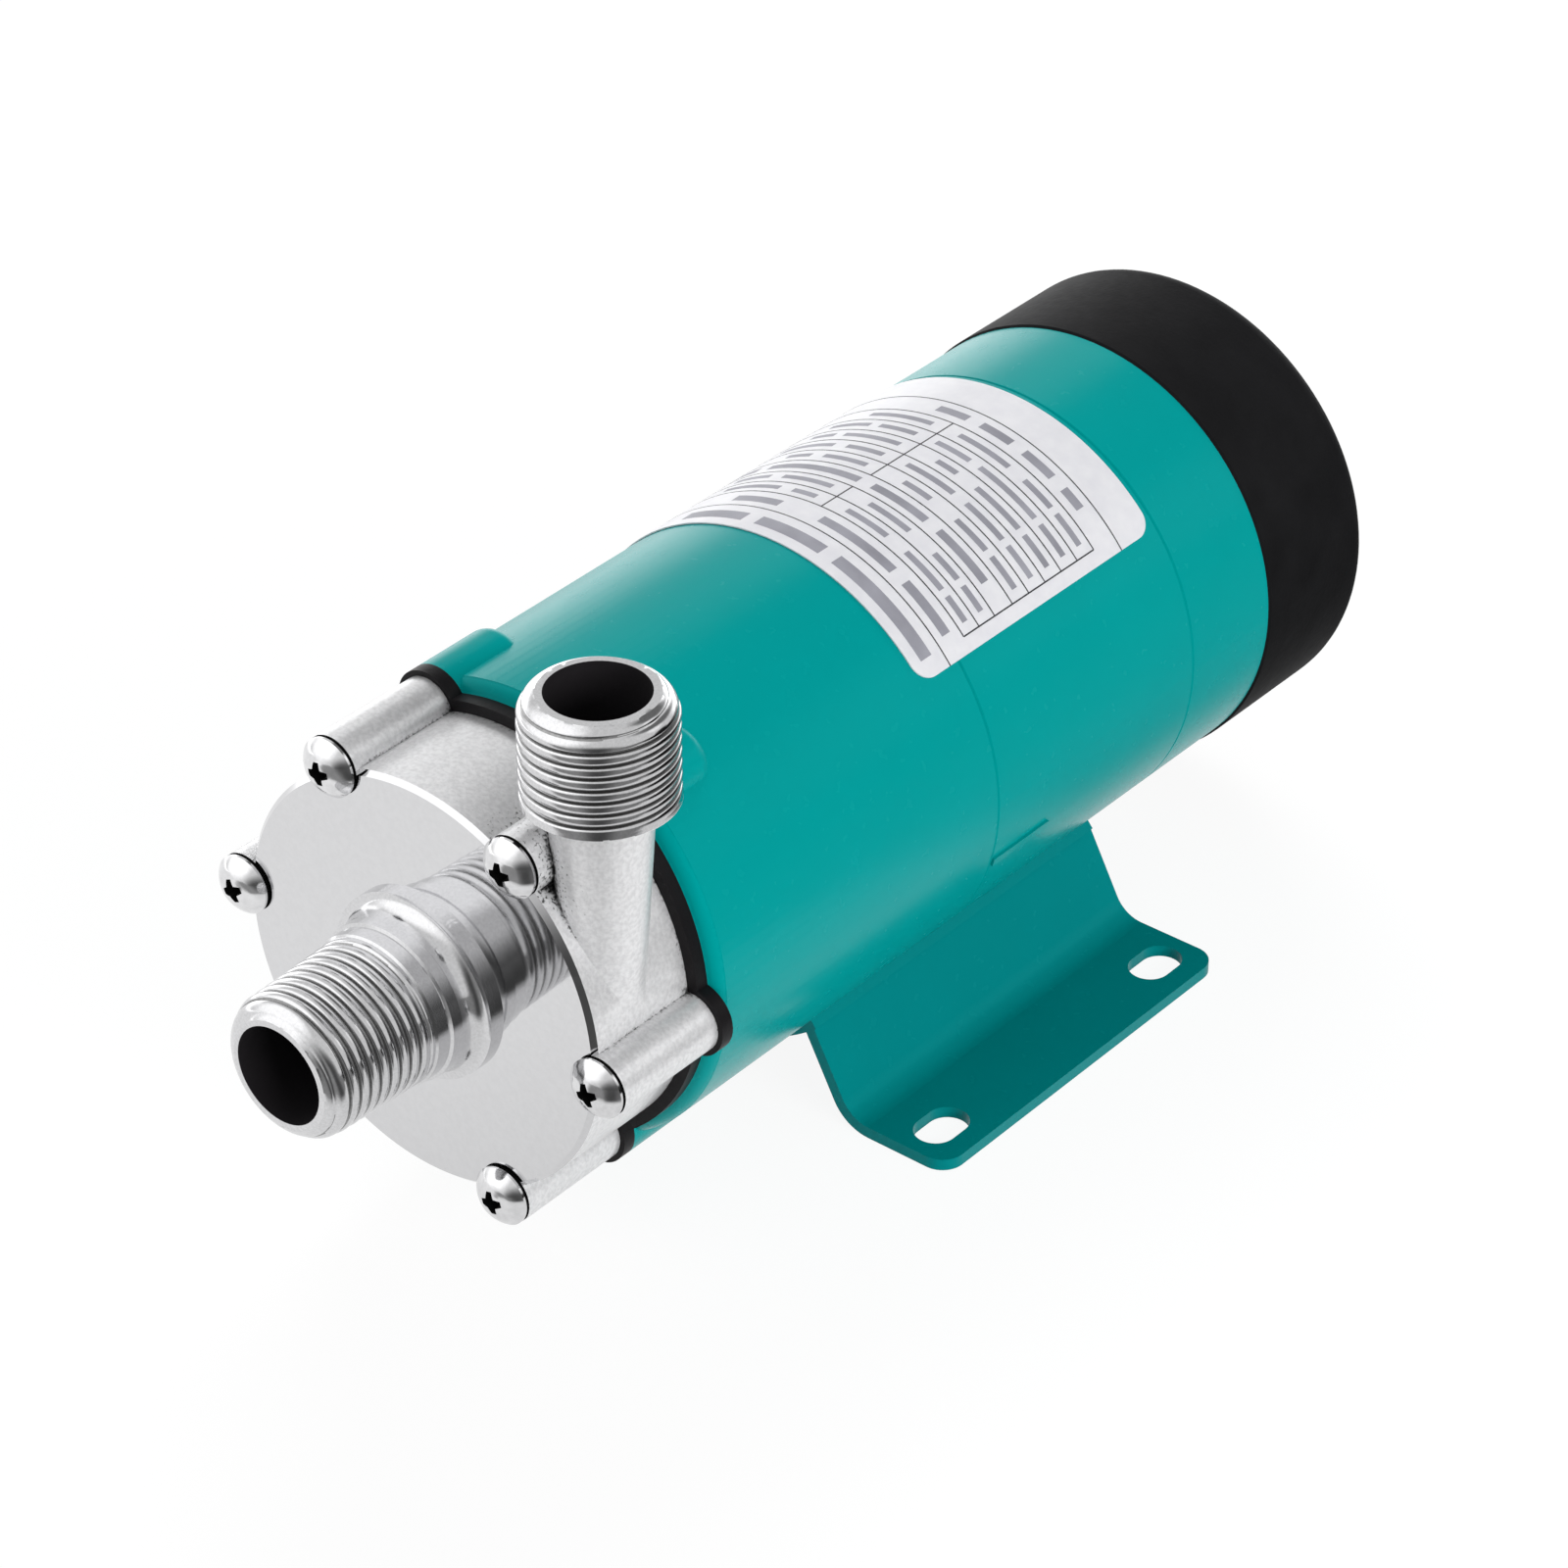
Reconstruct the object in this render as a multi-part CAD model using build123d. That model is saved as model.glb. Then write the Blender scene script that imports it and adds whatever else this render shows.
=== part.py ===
from build123d import *
import math
import os

# Magnetic drive pump: a cast head with a threaded inlet and outlet, an impeller
# that turns inside a sealed can, and an induction motor that drives it through
# a ring of magnets. Millimetres, +Z up, +Y toward the motor's rear. The origin
# lies on the foot's underside, below the shaft and midway along the length.
# Angles are seen from the inlet: 0 is +X and 90 is straight up.

# Driving sizes: lengths along the shaft, from the inlet's mouth to the fan
# cover's rear, and the motor's radius
INLET_REACH = 26.6
HEAD_DEPTH = 18.3
FLANGE_THICK = 2.1
HOUSING_LENGTH = 59.8
SHELL_LENGTH = 45.4
BELL_LENGTH = 18.5
COVER_LENGTH = 24.9
MOTOR_R = 34.2

# Clearances
SEAT_GAP = 0.02          # between pieces that are pressed or screwed together
SHAFT_GAP = 0.05         # radial, between the spindle and the impeller's bush
FACE_GAP = 0.3           # along the shaft, between turning and fixed faces
AIR_GAP = 0.4            # radial, between the rotor and the stator
MAGNET_GAP = 1.0         # radial, between the drive magnets and the can
HUB_GAP = 1.4            # radial, between the can and the impeller's hub
SCREW_GAP = 0.2          # radial, in a plain screw hole
OVERLAP = 1.0            # how far a form runs into the one it is fused with
THROUGH = 1.0            # how far a cut runs past the wall

# Motor casing
MOTOR_WALL = 2.6
FRONT_CHAMFER = 1.7
SEAM_CHAMFER = 0.25
EAR_R = 5.2
EAR_LENGTH = 13.3
EAR_ROUND = 2.5
SHELL_WALL = 3.0
WEB_THICK = 3.0
REAR_WEB_SETBACK = 12.0  # rear web's front behind the second seam
VENT_COUNT = 6
VENT_R = 3.6
VENT_STAND = 5.8         # vents' circle outside the bearing seat
VENT_ANGLE = 0.0
STRIP_ANGLE = -16.0
STRIP_LENGTH = 12.5
STRIP_WIDTH = 1.3
STRIP_RISE = 0.4

# Head screws, through the head and the rear casing into the motor's ears
SCREW_COUNT = 6
SCREW_ANGLE = 56.0
SCREW_INSET = 2.7        # screw circle inside the motor's radius
SCREW_CIRCLE_R = MOTOR_R - SCREW_INSET
SCREW_R = 2.0
SCREW_HEAD_R = 4.0
SCREW_HEAD_RIM = 0.7
SCREW_HEAD_HEIGHT = 2.6
SCREW_BITE = 9.0
SCREW_TIP = 1.0          # hole depth past the screw's tip

# Pipe threads, drawn at their crests
THREAD_R = 10.48
THREAD_CHAMFER = 2.8
THREAD_DROP = 1.8        # how much the end chamfer takes off the radius
INLET_THREAD = 17.9
INLET_BORE_R = 7.2
NECK_R = 9.4
NECK_RING_R = 10.0
NECK_RING_WIDTH = 1.4
NECK_RING_STAND = 4.8    # from the face to the ring's front
NECK_STEP = 0.3
FLARE_R = 3.8
PAD_R = 14.3
PAD_RISE = 0.35

# Pump head
HEAD_INSET = 3.4         # head's rim inside the motor's radius
HEAD_R = MOTOR_R - HEAD_INSET
HEAD_EDGE = 0.7
FACE_WALL = 3.6
BOSS_R = 4.15
REGISTER_WALL = 3.8      # head's wall round the rear casing's register
REGISTER_R = HEAD_R - REGISTER_WALL
VOLUTE_GROWTH = 2.8
VOLUTE_START_R = REGISTER_R - VOLUTE_GROWTH
VOLUTE_START = 30.0
OUTLET_INSET = 5.5       # outlet's axis inside the head's rim
OUTLET_X = HEAD_R - OUTLET_INSET
OUTLET_SETBACK = 8.5     # outlet's axis behind the face
OUTLET_STAND = 17.2      # outlet's mouth above the motor's top
OUTLET_RISE = MOTOR_R + OUTLET_STAND
OUTLET_THREAD = 15.6
OUTLET_BORE_R = 7.0
OUTLET_BORE_DEPTH = 12.0
THROAT_R = 3.9
THROAT_TAPER = 9.0
PIPE_TOP_R = 7.15
PIPE_LOW_R = 5.0
PIPE_LOW_Z = 3.0
SPIDER_RIBS = 3
SPIDER_RIB = 1.6
SPIDER_HUB_R = 4.6
SPIDER_DEPTH = 5.5
SPIDER_SETBACK = 1.0     # spider's rear ahead of the chamber's front
SPIDER_SOCKET = 3.5

# Black rear casing: flange with ears, register and can
FLANGE_R = MOTOR_R - FRONT_CHAMFER
REGISTER_DEPTH = 3.0
REGISTER_GAP = 0.3
RING_SECTION_R = 0.85
RING_GROOVE_WIDTH = 2.0
BACK_LIP_INSET = 1.0     # back lip inside the register's radius
BACK_LIP_R = REGISTER_R - BACK_LIP_INSET
BACK_LIP_WALL = 3.0
BACK_LIP_DEPTH = 3.0
CAN_BORE_R = 15.6
CAN_WALL = 1.4
CAN_LENGTH = 34.8        # from the flange's front to the can's inner end
CAN_END_WALL = 2.4
SPINDLE_SEAT_R = 6.0
SPINDLE_SEAT_LENGTH = 4.0
SPINDLE_SOCKET = 5.0

# Impeller, spindle and driven magnet
SPINDLE_R = 3.0
THRUST_R = 5.0
THRUST_THICK = 2.0
BUSH_WALL = 2.0
IMPELLER_GAP = 1.7       # radial, from the rim to the scroll's narrowest place
IMPELLER_R = VOLUTE_START_R - IMPELLER_GAP
IMPELLER_BACK = 2.0
IMPELLER_BACK_GAP = 0.8
VANE_COUNT = 6
VANE_HEIGHT = 7.0
VANE_THICK = 1.8
VANE_INNER_R = 8.5
VANE_SWEEP = 70.0        # angle a vane runs back from its foot to the rim
VANE_LEAN = 27.0         # and to its middle
NOSE_R = 7.0
DRIVEN_OUTER_R = 13.0
DRIVEN_INNER_R = 8.2
DRIVEN_LENGTH = 26.0
DRIVEN_END_WALL = 1.6

# Drive magnets and yoke on the motor shaft
MAGNET_COUNT = 6
MAGNET_THICK = 2.6
MAGNET_LENGTH = 28.0
MAGNET_ARC = 52.0
YOKE_WALL = 2.8
YOKE_FRONT_STAND = 1.6   # from the rear casing's back lip to the yoke
YOKE_WEB = 3.0
YOKE_WEB_GAP = 1.6
YOKE_HUB_R = 8.0
YOKE_HUB_LENGTH = 8.5
SET_SCREW_R = 1.5
SET_SCREW_DEPTH = 0.5    # set screw's head below the hub's surface

# Bearings
BEARING_BORE_R = 4.0
BEARING_OUTER_R = 11.0
BEARING_WIDTH = 7.0
OUTER_RACE_WALL = 1.8
INNER_RACE_WALL = 2.2
BALL_COUNT = 7
BALL_R = 1.3
RACE_GAP = 0.3
CAGE_WIDTH = 1.2
CAGE_WALL = 1.2
BEARING_SEAT_WALL = 3.2
BEARING_LIP = 2.0
BEARING_LIP_RISE = 2.2   # how far the lip covers the outer ring's end
REAR_BEARING_LEAD = 4.0  # rear bearing's front ahead of the rear web's

# Rotor, stator and tie bolts
SHAFT_R = 5.0
SHAFT_END = 1.0          # shaft past the fan's hub
YOKE_TO_BEARING = 2.0
STACK_LENGTH = 37.0
STACK_SETBACK = 4.0      # stack's front behind the first seam
STATOR_BACK = 6.2        # iron outside the slots
SLOT_COUNT = 8
SLOT_WIDTH = 5.5
SLOT_DEPTH = 7.2
SLOT_ROUND = 1.0
SLOT_MOUTH = 2.0
TOOTH_TIP = 1.6          # from the stator's bore to the slots
COIL_GAP = 0.3
COIL_OVERHANG = 6.5
COIL_EDGE = 1.5
END_RING_LENGTH = 3.5
END_RING_WALL = 5.0
END_RING_INSET = 0.5
TIE_COUNT = 4
TIE_ANGLE = 45.0
TIE_INSET = 2.8          # bolt circle inside the shell's bore
TIE_R = 1.6
TIE_HEAD_R = 2.9
TIE_HEAD_HEIGHT = 2.0
TIE_BOSS_R = 3.7
TIE_BITE = 6.0
TIE_FLOOR = 1.0          # metal in front of a bolt's hole
TIE_TIP = 0.5            # hole depth past the bolt's tip

# Fan and its cover
COVER_STAND = 0.3        # cover outside the motor's radius
COVER_R = MOTOR_R + COVER_STAND
COVER_WALL = 2.0
COVER_END_WALL = 2.2
COVER_ROUND = 3.2
COVER_LAP = 4.0
COVER_EDGE = 0.4
LAP_WALL = 2.4
LAP_GAP = 0.1
LAP_R = COVER_R - COVER_WALL - LAP_GAP
POST_COUNT = 3
POST_ANGLE = 90.0
POST_INSET = 2.6         # posts' circle inside the lap's bore
POST_CIRCLE_R = LAP_R - LAP_WALL - POST_INSET
POST_R = 3.4
COVER_SCREW_R = 1.5
COVER_SCREW_LENGTH = 10.0
COVER_HEAD_R = 2.9
COVER_HEAD_RIM = 0.7
COVER_HEAD_HEIGHT = 1.8
COVER_HEAD_SINK = 0.4    # head's top below the cover's rear
COVER_PAD_R = 4.4
COVER_PAD = 3.0
REAR_VENT_COUNT = 12
REAR_VENT_WIDTH = 3.2
REAR_VENT_INNER_R = 8.0
REAR_VENT_MARGIN = 2.0   # from the slots' outer ends to the screw pads
FAN_GAP = 1.5            # radial, from the fan to the posts
FAN_R = POST_CIRCLE_R - POST_R - FAN_GAP
FAN_HUB_R = 7.0
FAN_HUB_LENGTH = 11.0
FAN_STAND = 3.0          # fan's front behind the bell's rear edge
FAN_PLATE = 1.5
FAN_BLADES = 8
FAN_BLADE_THICK = 1.4
FAN_BLADE_HEIGHT = 9.0

# Cable grommet, closed, in the bell's hidden side
GROMMET_ANGLE = 215.0
GROMMET_SETBACK = 5.9    # its axis behind the second seam
GROMMET_R = 4.0
GROMMET_RIM_R = 5.4
GROMMET_RIM = 1.4

# Foot: bent sheet with a saddle under the motor
FOOT_CLEARANCE = 7.8     # floor to the motor's underside
AXIS_HEIGHT = MOTOR_R + FOOT_CLEARANCE
FOOT_WIDTH = 92.6
FOOT_LENGTH = 63.8
FOOT_FRONT = 33.5        # foot's front edge behind the casing's front
FOOT_SHEET = 1.8
FOOT_LEG_ANGLE = 62.0
FOOT_LEG_TOP = -50.0     # angle on the motor where the leg leaves it
FOOT_BEND_R = 5.0
FOOT_CORNER_R = 3.5
SLOT_EDGE_X = 6.3        # slots' axes from the foot's sides
SLOT_EDGE_Y = 6.9        # and from its ends
SLOT_SPACING_X = FOOT_WIDTH - 2 * SLOT_EDGE_X
SLOT_SPACING_Y = FOOT_LENGTH - 2 * SLOT_EDGE_Y
FOOT_SLOT_WIDTH = 6.2
FOOT_SLOT_LENGTH = 9.0
FOOT_SCREW_SPACING = 40.0
FOOT_SCREW_R = 2.0
FOOT_SCREW_BITE = 2.3
FOOT_SCREW_TIP = 0.3
FOOT_HEAD_R = 3.6
FOOT_HEAD_RIM = 0.8
FOOT_HEAD_HEIGHT = 2.2
FOOT_HEAD_GAP = 0.03     # between a flat head and the curved saddle

# Rating label, wrapped over the top
LABEL_THICK = 0.2
LABEL_GLUE = 0.05
LABEL_LEAD = 8.2         # label's front edge ahead of the first seam
LABEL_TAIL = 1.2         # label's rear edge ahead of the second seam
LABEL_LENGTH = LABEL_LEAD + SHELL_LENGTH - LABEL_TAIL
LABEL_START = 38.5
LABEL_END = 160.0
LABEL_CORNER_R = 3.0

# Stations along the shaft
LENGTH = (INLET_REACH + HEAD_DEPTH + FLANGE_THICK + HOUSING_LENGTH
          + SHELL_LENGTH + BELL_LENGTH + COVER_LENGTH)
MOUTH = -LENGTH / 2
FACE = MOUTH + INLET_REACH
FLANGE = FACE + HEAD_DEPTH
CASING = FLANGE + FLANGE_THICK
SEAM_1 = CASING + HOUSING_LENGTH
SEAM_2 = SEAM_1 + SHELL_LENGTH
COVER = SEAM_2 + BELL_LENGTH
REAR = COVER + COVER_LENGTH

CHAMBER_FRONT = FACE + FACE_WALL
CHAMBER_BACK = FLANGE - REGISTER_DEPTH
OUTLET_Y = FACE + OUTLET_SETBACK
CAN_END = FLANGE + CAN_LENGTH
CAN_R = CAN_BORE_R + CAN_WALL
RING_GROOVE_Y = CHAMBER_BACK + REGISTER_DEPTH / 2
RING_FLOOR_R = REGISTER_R + REGISTER_GAP / 2 - 2 * RING_SECTION_R

SPIDER_BACK = CHAMBER_FRONT - SPIDER_SETBACK
SPINDLE_FRONT = SPIDER_BACK - SPIDER_SOCKET
SPINDLE_BACK = CAN_END - SPINDLE_SEAT_LENGTH + SPINDLE_SOCKET
FRONT_THRUST = SPIDER_BACK
REAR_THRUST = CAN_END - SPINDLE_SEAT_LENGTH - THRUST_THICK
BUSH_FRONT = FRONT_THRUST + THRUST_THICK + FACE_GAP
BUSH_BACK = REAR_THRUST - FACE_GAP
BUSH_BORE_R = SPINDLE_R + SHAFT_GAP
BUSH_R = BUSH_BORE_R + BUSH_WALL

IMPELLER_REAR = CHAMBER_BACK - IMPELLER_BACK_GAP
VANE_BACK = IMPELLER_REAR - IMPELLER_BACK
VANE_FRONT = VANE_BACK - VANE_HEIGHT
HUB_R = CAN_BORE_R - HUB_GAP
DRIVEN_FRONT = BUSH_BACK - DRIVEN_LENGTH - DRIVEN_END_WALL

MAGNET_R = CAN_R + MAGNET_GAP
YOKE_BORE_R = MAGNET_R + MAGNET_THICK + SEAT_GAP
YOKE_R = YOKE_BORE_R + YOKE_WALL
YOKE_FRONT = CASING + BACK_LIP_DEPTH + YOKE_FRONT_STAND
YOKE_WEB_FRONT = CAN_END + CAN_END_WALL + YOKE_WEB_GAP
YOKE_HUB_BACK = YOKE_WEB_FRONT + YOKE_HUB_LENGTH
SET_SCREW_Y = (YOKE_WEB_FRONT + YOKE_WEB + YOKE_HUB_BACK) / 2

FRONT_BEARING = YOKE_HUB_BACK + YOKE_TO_BEARING
FRONT_WEB = FRONT_BEARING - BEARING_LIP
REAR_WEB = SEAM_2 + REAR_WEB_SETBACK
REAR_WEB_BACK = REAR_WEB + WEB_THICK
REAR_BEARING = REAR_WEB - REAR_BEARING_LEAD
BEARING_SEAT_R = BEARING_OUTER_R + BEARING_SEAT_WALL
OUTER_RACE_R = BEARING_OUTER_R - OUTER_RACE_WALL
VENT_CIRCLE_R = BEARING_SEAT_R + VENT_STAND
HOUSING_BORE_R = MOTOR_R - MOTOR_WALL
SHELL_BORE_R = MOTOR_R - SHELL_WALL

STACK_FRONT = SEAM_1 + STACK_SETBACK
STACK_BACK = STACK_FRONT + STACK_LENGTH
SLOT_OUTER_R = SHELL_BORE_R - STATOR_BACK
SLOT_INNER_R = SLOT_OUTER_R - SLOT_DEPTH
STATOR_BORE_R = SLOT_INNER_R - TOOTH_TIP
ROTOR_R = STATOR_BORE_R - AIR_GAP
TIE_CIRCLE_R = SHELL_BORE_R - TIE_INSET

FAN_FRONT = COVER + FAN_STAND
SHAFT_BACK = FAN_FRONT + FAN_HUB_LENGTH + SHAFT_END
POST_BACK = REAR - COVER_END_WALL - COVER_PAD
REAR_VENT_OUTER_R = POST_CIRCLE_R - COVER_PAD_R - REAR_VENT_MARGIN

GROMMET_Y = SEAM_2 + GROMMET_SETBACK
SADDLE_R = MOTOR_R + SEAT_GAP
FOOT_Y = CASING + FOOT_FRONT + FOOT_LENGTH / 2
FOOT_SCREW_YS = [FOOT_Y - FOOT_SCREW_SPACING / 2, FOOT_Y + FOOT_SCREW_SPACING / 2]

SCREW_ANGLES = [SCREW_ANGLE + 360 / SCREW_COUNT * n for n in range(SCREW_COUNT)]
TIE_ANGLES = [TIE_ANGLE + 360 / TIE_COUNT * n for n in range(TIE_COUNT)]
POST_ANGLES = [POST_ANGLE + 360 / POST_COUNT * n for n in range(POST_COUNT)]


def polar(radius, angle):
    """Place across the shaft, x and z, seen from the inlet."""
    turn = math.radians(angle)
    return radius * math.cos(turn), radius * math.sin(turn)


def slab(sketch, y1, y2):
    """Sketch drawn in x and z, as thick as from station y1 to y2."""
    plane = Plane(origin=(0, y1, 0), x_dir=(1, 0, 0), z_dir=(0, -1, 0))
    return extrude(plane * sketch, amount=y1 - y2)


def rod(radius, y1, y2, at=(0, 0)):
    return slab(Pos(*at) * Circle(radius), y1, y2)


def ring(outer, inner, y1, y2):
    return slab(Circle(outer) - Circle(inner), y1, y2)


def turned(*lines):
    """Solid turned about the shaft from an outline in radius and station."""
    outline = Curve() + list(lines)
    return revolve(make_face(outline), Axis.Y)


def radial(radius, r1, r2, y, angle):
    """Rod that stands out from the shaft, from radius r1 to r2."""
    x, z = polar(1, angle)
    plane = Plane(origin=(x * r1, y, z * r1), x_dir=(0, 1, 0), z_dir=(x, 0, z))
    return extrude(plane * Circle(radius), amount=r2 - r1)


def sector(outer, inner, start, end):
    """Ring section between two angles."""
    middle = (start + end) / 2
    outer_arc = ThreePointArc(polar(outer, start), polar(outer, middle), polar(outer, end))
    inner_arc = ThreePointArc(polar(inner, end), polar(inner, middle), polar(inner, start))
    sides = [Line(outer_arc @ 1, inner_arc @ 0), Line(inner_arc @ 1, outer_arc @ 0)]
    return make_face(Curve() + [outer_arc, inner_arc] + sides)


def pan_screw(head_r, head_height, rim, shank_r, length):
    """Screw along +Y whose domed head stands in front of y = 0."""
    rise = head_height - rim
    dome_r = (head_r ** 2 + rise ** 2) / (2 * rise)
    half_r = head_r / 2
    half_rise = math.sqrt(dome_r ** 2 - half_r ** 2) - (dome_r - rise)
    dome = ThreePointArc((head_r, -rim), (half_r, -rim - half_rise), (0, -head_height))
    seat = Polyline((0, -head_height), (0, 0), (head_r, 0), (head_r, -rim))
    return turned(dome, seat) + rod(shank_r, 0, length)


def volute_outline():
    """Scroll whose radius grows by a steady amount over one turn."""
    steps = 16
    points = []
    for n in range(steps + 1):
        radius = VOLUTE_START_R + VOLUTE_GROWTH * n / steps
        points.append(polar(radius, VOLUTE_START + 360 * n / steps))
    return make_face(Curve() + [Spline(*points), Line(points[-1], points[0])])


def inlet_spigot():
    """Threaded inlet, its neck with a raised ring, and the flare into the face."""
    thread_end = MOUTH + INLET_THREAD
    ring_front = FACE - NECK_RING_STAND
    ring_back = ring_front + NECK_RING_WIDTH
    flare_front = FACE - PAD_RISE - FLARE_R
    flare_r = NECK_R + NECK_STEP + FLARE_R
    sag = FLARE_R * (1 - math.sqrt(0.5))
    front = Polyline(
        (0, MOUTH),
        (THREAD_R - THREAD_DROP, MOUTH),
        (THREAD_R, MOUTH + THREAD_CHAMFER),
        (THREAD_R, thread_end),
        (NECK_R, thread_end + THREAD_R - NECK_R),
        (NECK_R, ring_front),
        (NECK_RING_R, ring_front + NECK_STEP),
        (NECK_RING_R, ring_back),
        (NECK_R + NECK_STEP, ring_back + NECK_STEP),
        (NECK_R + NECK_STEP, flare_front),
    )
    flare = ThreePointArc(
        (NECK_R + NECK_STEP, flare_front),
        (NECK_R + NECK_STEP + sag, FACE - PAD_RISE - sag),
        (flare_r, FACE - PAD_RISE),
    )
    pad = Polyline((flare_r, FACE - PAD_RISE), (PAD_R, FACE - PAD_RISE),
                   (PAD_R, FACE + OVERLAP), (0, FACE + OVERLAP), (0, MOUTH))
    return turned(front, flare, pad)


def outlet_spigot():
    """Threaded outlet on its tapered pipe, which runs down the casing's side."""
    thread_foot = OUTLET_RISE - OUTLET_THREAD
    straight = OUTLET_THREAD - THREAD_CHAMFER
    pipe_height = thread_foot - PIPE_LOW_Z
    spigot = Pos(0, 0, thread_foot + straight / 2) * Cylinder(THREAD_R, straight)
    spigot += Pos(0, 0, OUTLET_RISE - THREAD_CHAMFER / 2) * Cone(
        THREAD_R, THREAD_R - THREAD_DROP, THREAD_CHAMFER)
    spigot += Pos(0, 0, PIPE_LOW_Z + pipe_height / 2) * Cone(PIPE_LOW_R, PIPE_TOP_R, pipe_height)
    return Pos(OUTLET_X, OUTLET_Y, 0) * spigot


def outlet_bore():
    """Wide mouth, a taper and the narrow throat that opens into the scroll."""
    mouth_floor = OUTLET_RISE - OUTLET_BORE_DEPTH
    throat_top = mouth_floor - THROAT_TAPER
    bore = Pos(0, 0, mouth_floor + OUTLET_BORE_DEPTH / 2) * Cylinder(OUTLET_BORE_R, OUTLET_BORE_DEPTH)
    bore += Pos(0, 0, mouth_floor - THROAT_TAPER / 2) * Cone(THROAT_R, OUTLET_BORE_R, THROAT_TAPER)
    bore += Pos(0, 0, throat_top / 2) * Cylinder(THROAT_R, throat_top)
    bore += Sphere(THROAT_R)
    return Pos(OUTLET_X, OUTLET_Y, 0) * bore


def spider():
    """Ribs across the inlet that hold the spindle's front end."""
    front = SPIDER_BACK - SPIDER_DEPTH
    hub = rod(SPIDER_HUB_R, front, SPIDER_BACK)
    for n in range(SPIDER_RIBS):
        rib = Pos(INLET_BORE_R / 2, 0) * Rectangle(INLET_BORE_R + OVERLAP, SPIDER_RIB)
        hub += slab(Rot(0, 0, 90 + 360 / SPIDER_RIBS * n) * rib, front, SPIDER_BACK)
    return hub - rod(SPINDLE_R + SEAT_GAP, SPINDLE_FRONT, SPIDER_BACK)


def pump_head():
    body = rod(HEAD_R, FACE, FLANGE)
    body = chamfer(body.edges().sort_by(Axis.Y)[0], HEAD_EDGE)
    for angle in SCREW_ANGLES:
        body += rod(BOSS_R, FACE, FLANGE, polar(SCREW_CIRCLE_R, angle))
    body += inlet_spigot()
    body += outlet_spigot()
    body -= slab(volute_outline(), CHAMBER_FRONT, FLANGE)
    body -= rod(REGISTER_R + REGISTER_GAP, CHAMBER_BACK, FLANGE)
    body -= rod(INLET_BORE_R, MOUTH, CHAMBER_FRONT)
    body -= outlet_bore()
    for angle in SCREW_ANGLES:
        body -= rod(SCREW_R + SCREW_GAP, FACE, FLANGE, polar(SCREW_CIRCLE_R, angle))
    return body + spider()


def head_screw(angle):
    x, z = polar(SCREW_CIRCLE_R, angle)
    length = HEAD_DEPTH + FLANGE_THICK + SCREW_BITE
    screw = pan_screw(SCREW_HEAD_R, SCREW_HEAD_HEIGHT, SCREW_HEAD_RIM, SCREW_R, length)
    return Pos(x, FACE, z) * screw


def casing_o_ring():
    section = Pos(RING_FLOOR_R + RING_SECTION_R, RING_GROOVE_Y) * Circle(RING_SECTION_R)
    return revolve(section, Axis.Y)


def rear_casing():
    """Flange with ears, register for the head, and the can around the spindle."""
    outline = Circle(FLANGE_R)
    for angle in SCREW_ANGLES:
        outline += Pos(*polar(SCREW_CIRCLE_R, angle)) * Circle(EAR_R)
    body = slab(outline, FLANGE, CASING)
    body += rod(REGISTER_R, CHAMBER_BACK + SEAT_GAP, FLANGE)
    body += ring(BACK_LIP_R, BACK_LIP_R - BACK_LIP_WALL, CASING, CASING + BACK_LIP_DEPTH)
    body += rod(CAN_R, CASING, CAN_END + CAN_END_WALL)
    body -= rod(CAN_BORE_R, CHAMBER_BACK, CAN_END)
    body += rod(SPINDLE_SEAT_R, CAN_END - SPINDLE_SEAT_LENGTH, CAN_END)
    body -= rod(SPINDLE_R + SEAT_GAP, CAN_END - SPINDLE_SEAT_LENGTH, SPINDLE_BACK)
    groove = RING_GROOVE_Y - RING_GROOVE_WIDTH / 2
    body -= ring(REGISTER_R + THROUGH, RING_FLOOR_R, groove, groove + RING_GROOVE_WIDTH)
    for angle in SCREW_ANGLES:
        body -= rod(SCREW_R + SCREW_GAP, FLANGE, CASING, polar(SCREW_CIRCLE_R, angle))
    return body


def spindle():
    return rod(SPINDLE_R, SPINDLE_FRONT, SPINDLE_BACK)


def thrust_ring(y):
    return ring(THRUST_R, SPINDLE_R + SEAT_GAP, y, y + THRUST_THICK)


def vane():
    """Blade that curves back from the eye to the rim, seen from the inlet."""
    middle_r = (VANE_INNER_R + IMPELLER_R) / 2
    camber = ThreePointArc(
        polar(VANE_INNER_R, 0),
        polar(middle_r, -VANE_LEAN),
        polar(IMPELLER_R - VANE_THICK / 2, -VANE_SWEEP),
    )
    blade = trace(camber, VANE_THICK)
    return blade & Circle(IMPELLER_R)


def impeller():
    """Vaned disc on a hub that runs back into the can over the driven magnet."""
    body = rod(IMPELLER_R, VANE_BACK, IMPELLER_REAR)
    body += rod(HUB_R, IMPELLER_REAR, BUSH_BACK)
    body += rod(NOSE_R, VANE_FRONT, VANE_BACK)
    blade = vane()
    for n in range(VANE_COUNT):
        body += slab(Rot(0, 0, 360 / VANE_COUNT * n) * blade, VANE_FRONT, VANE_BACK)
    body -= ring(DRIVEN_OUTER_R + SEAT_GAP, DRIVEN_INNER_R - SEAT_GAP, DRIVEN_FRONT, BUSH_BACK)
    return body - rod(BUSH_R + SEAT_GAP, VANE_FRONT, BUSH_BACK)


def driven_magnet():
    return ring(DRIVEN_OUTER_R, DRIVEN_INNER_R, DRIVEN_FRONT, DRIVEN_FRONT + DRIVEN_LENGTH)


def impeller_bush():
    return ring(BUSH_R, BUSH_BORE_R, BUSH_FRONT, BUSH_BACK)


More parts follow.
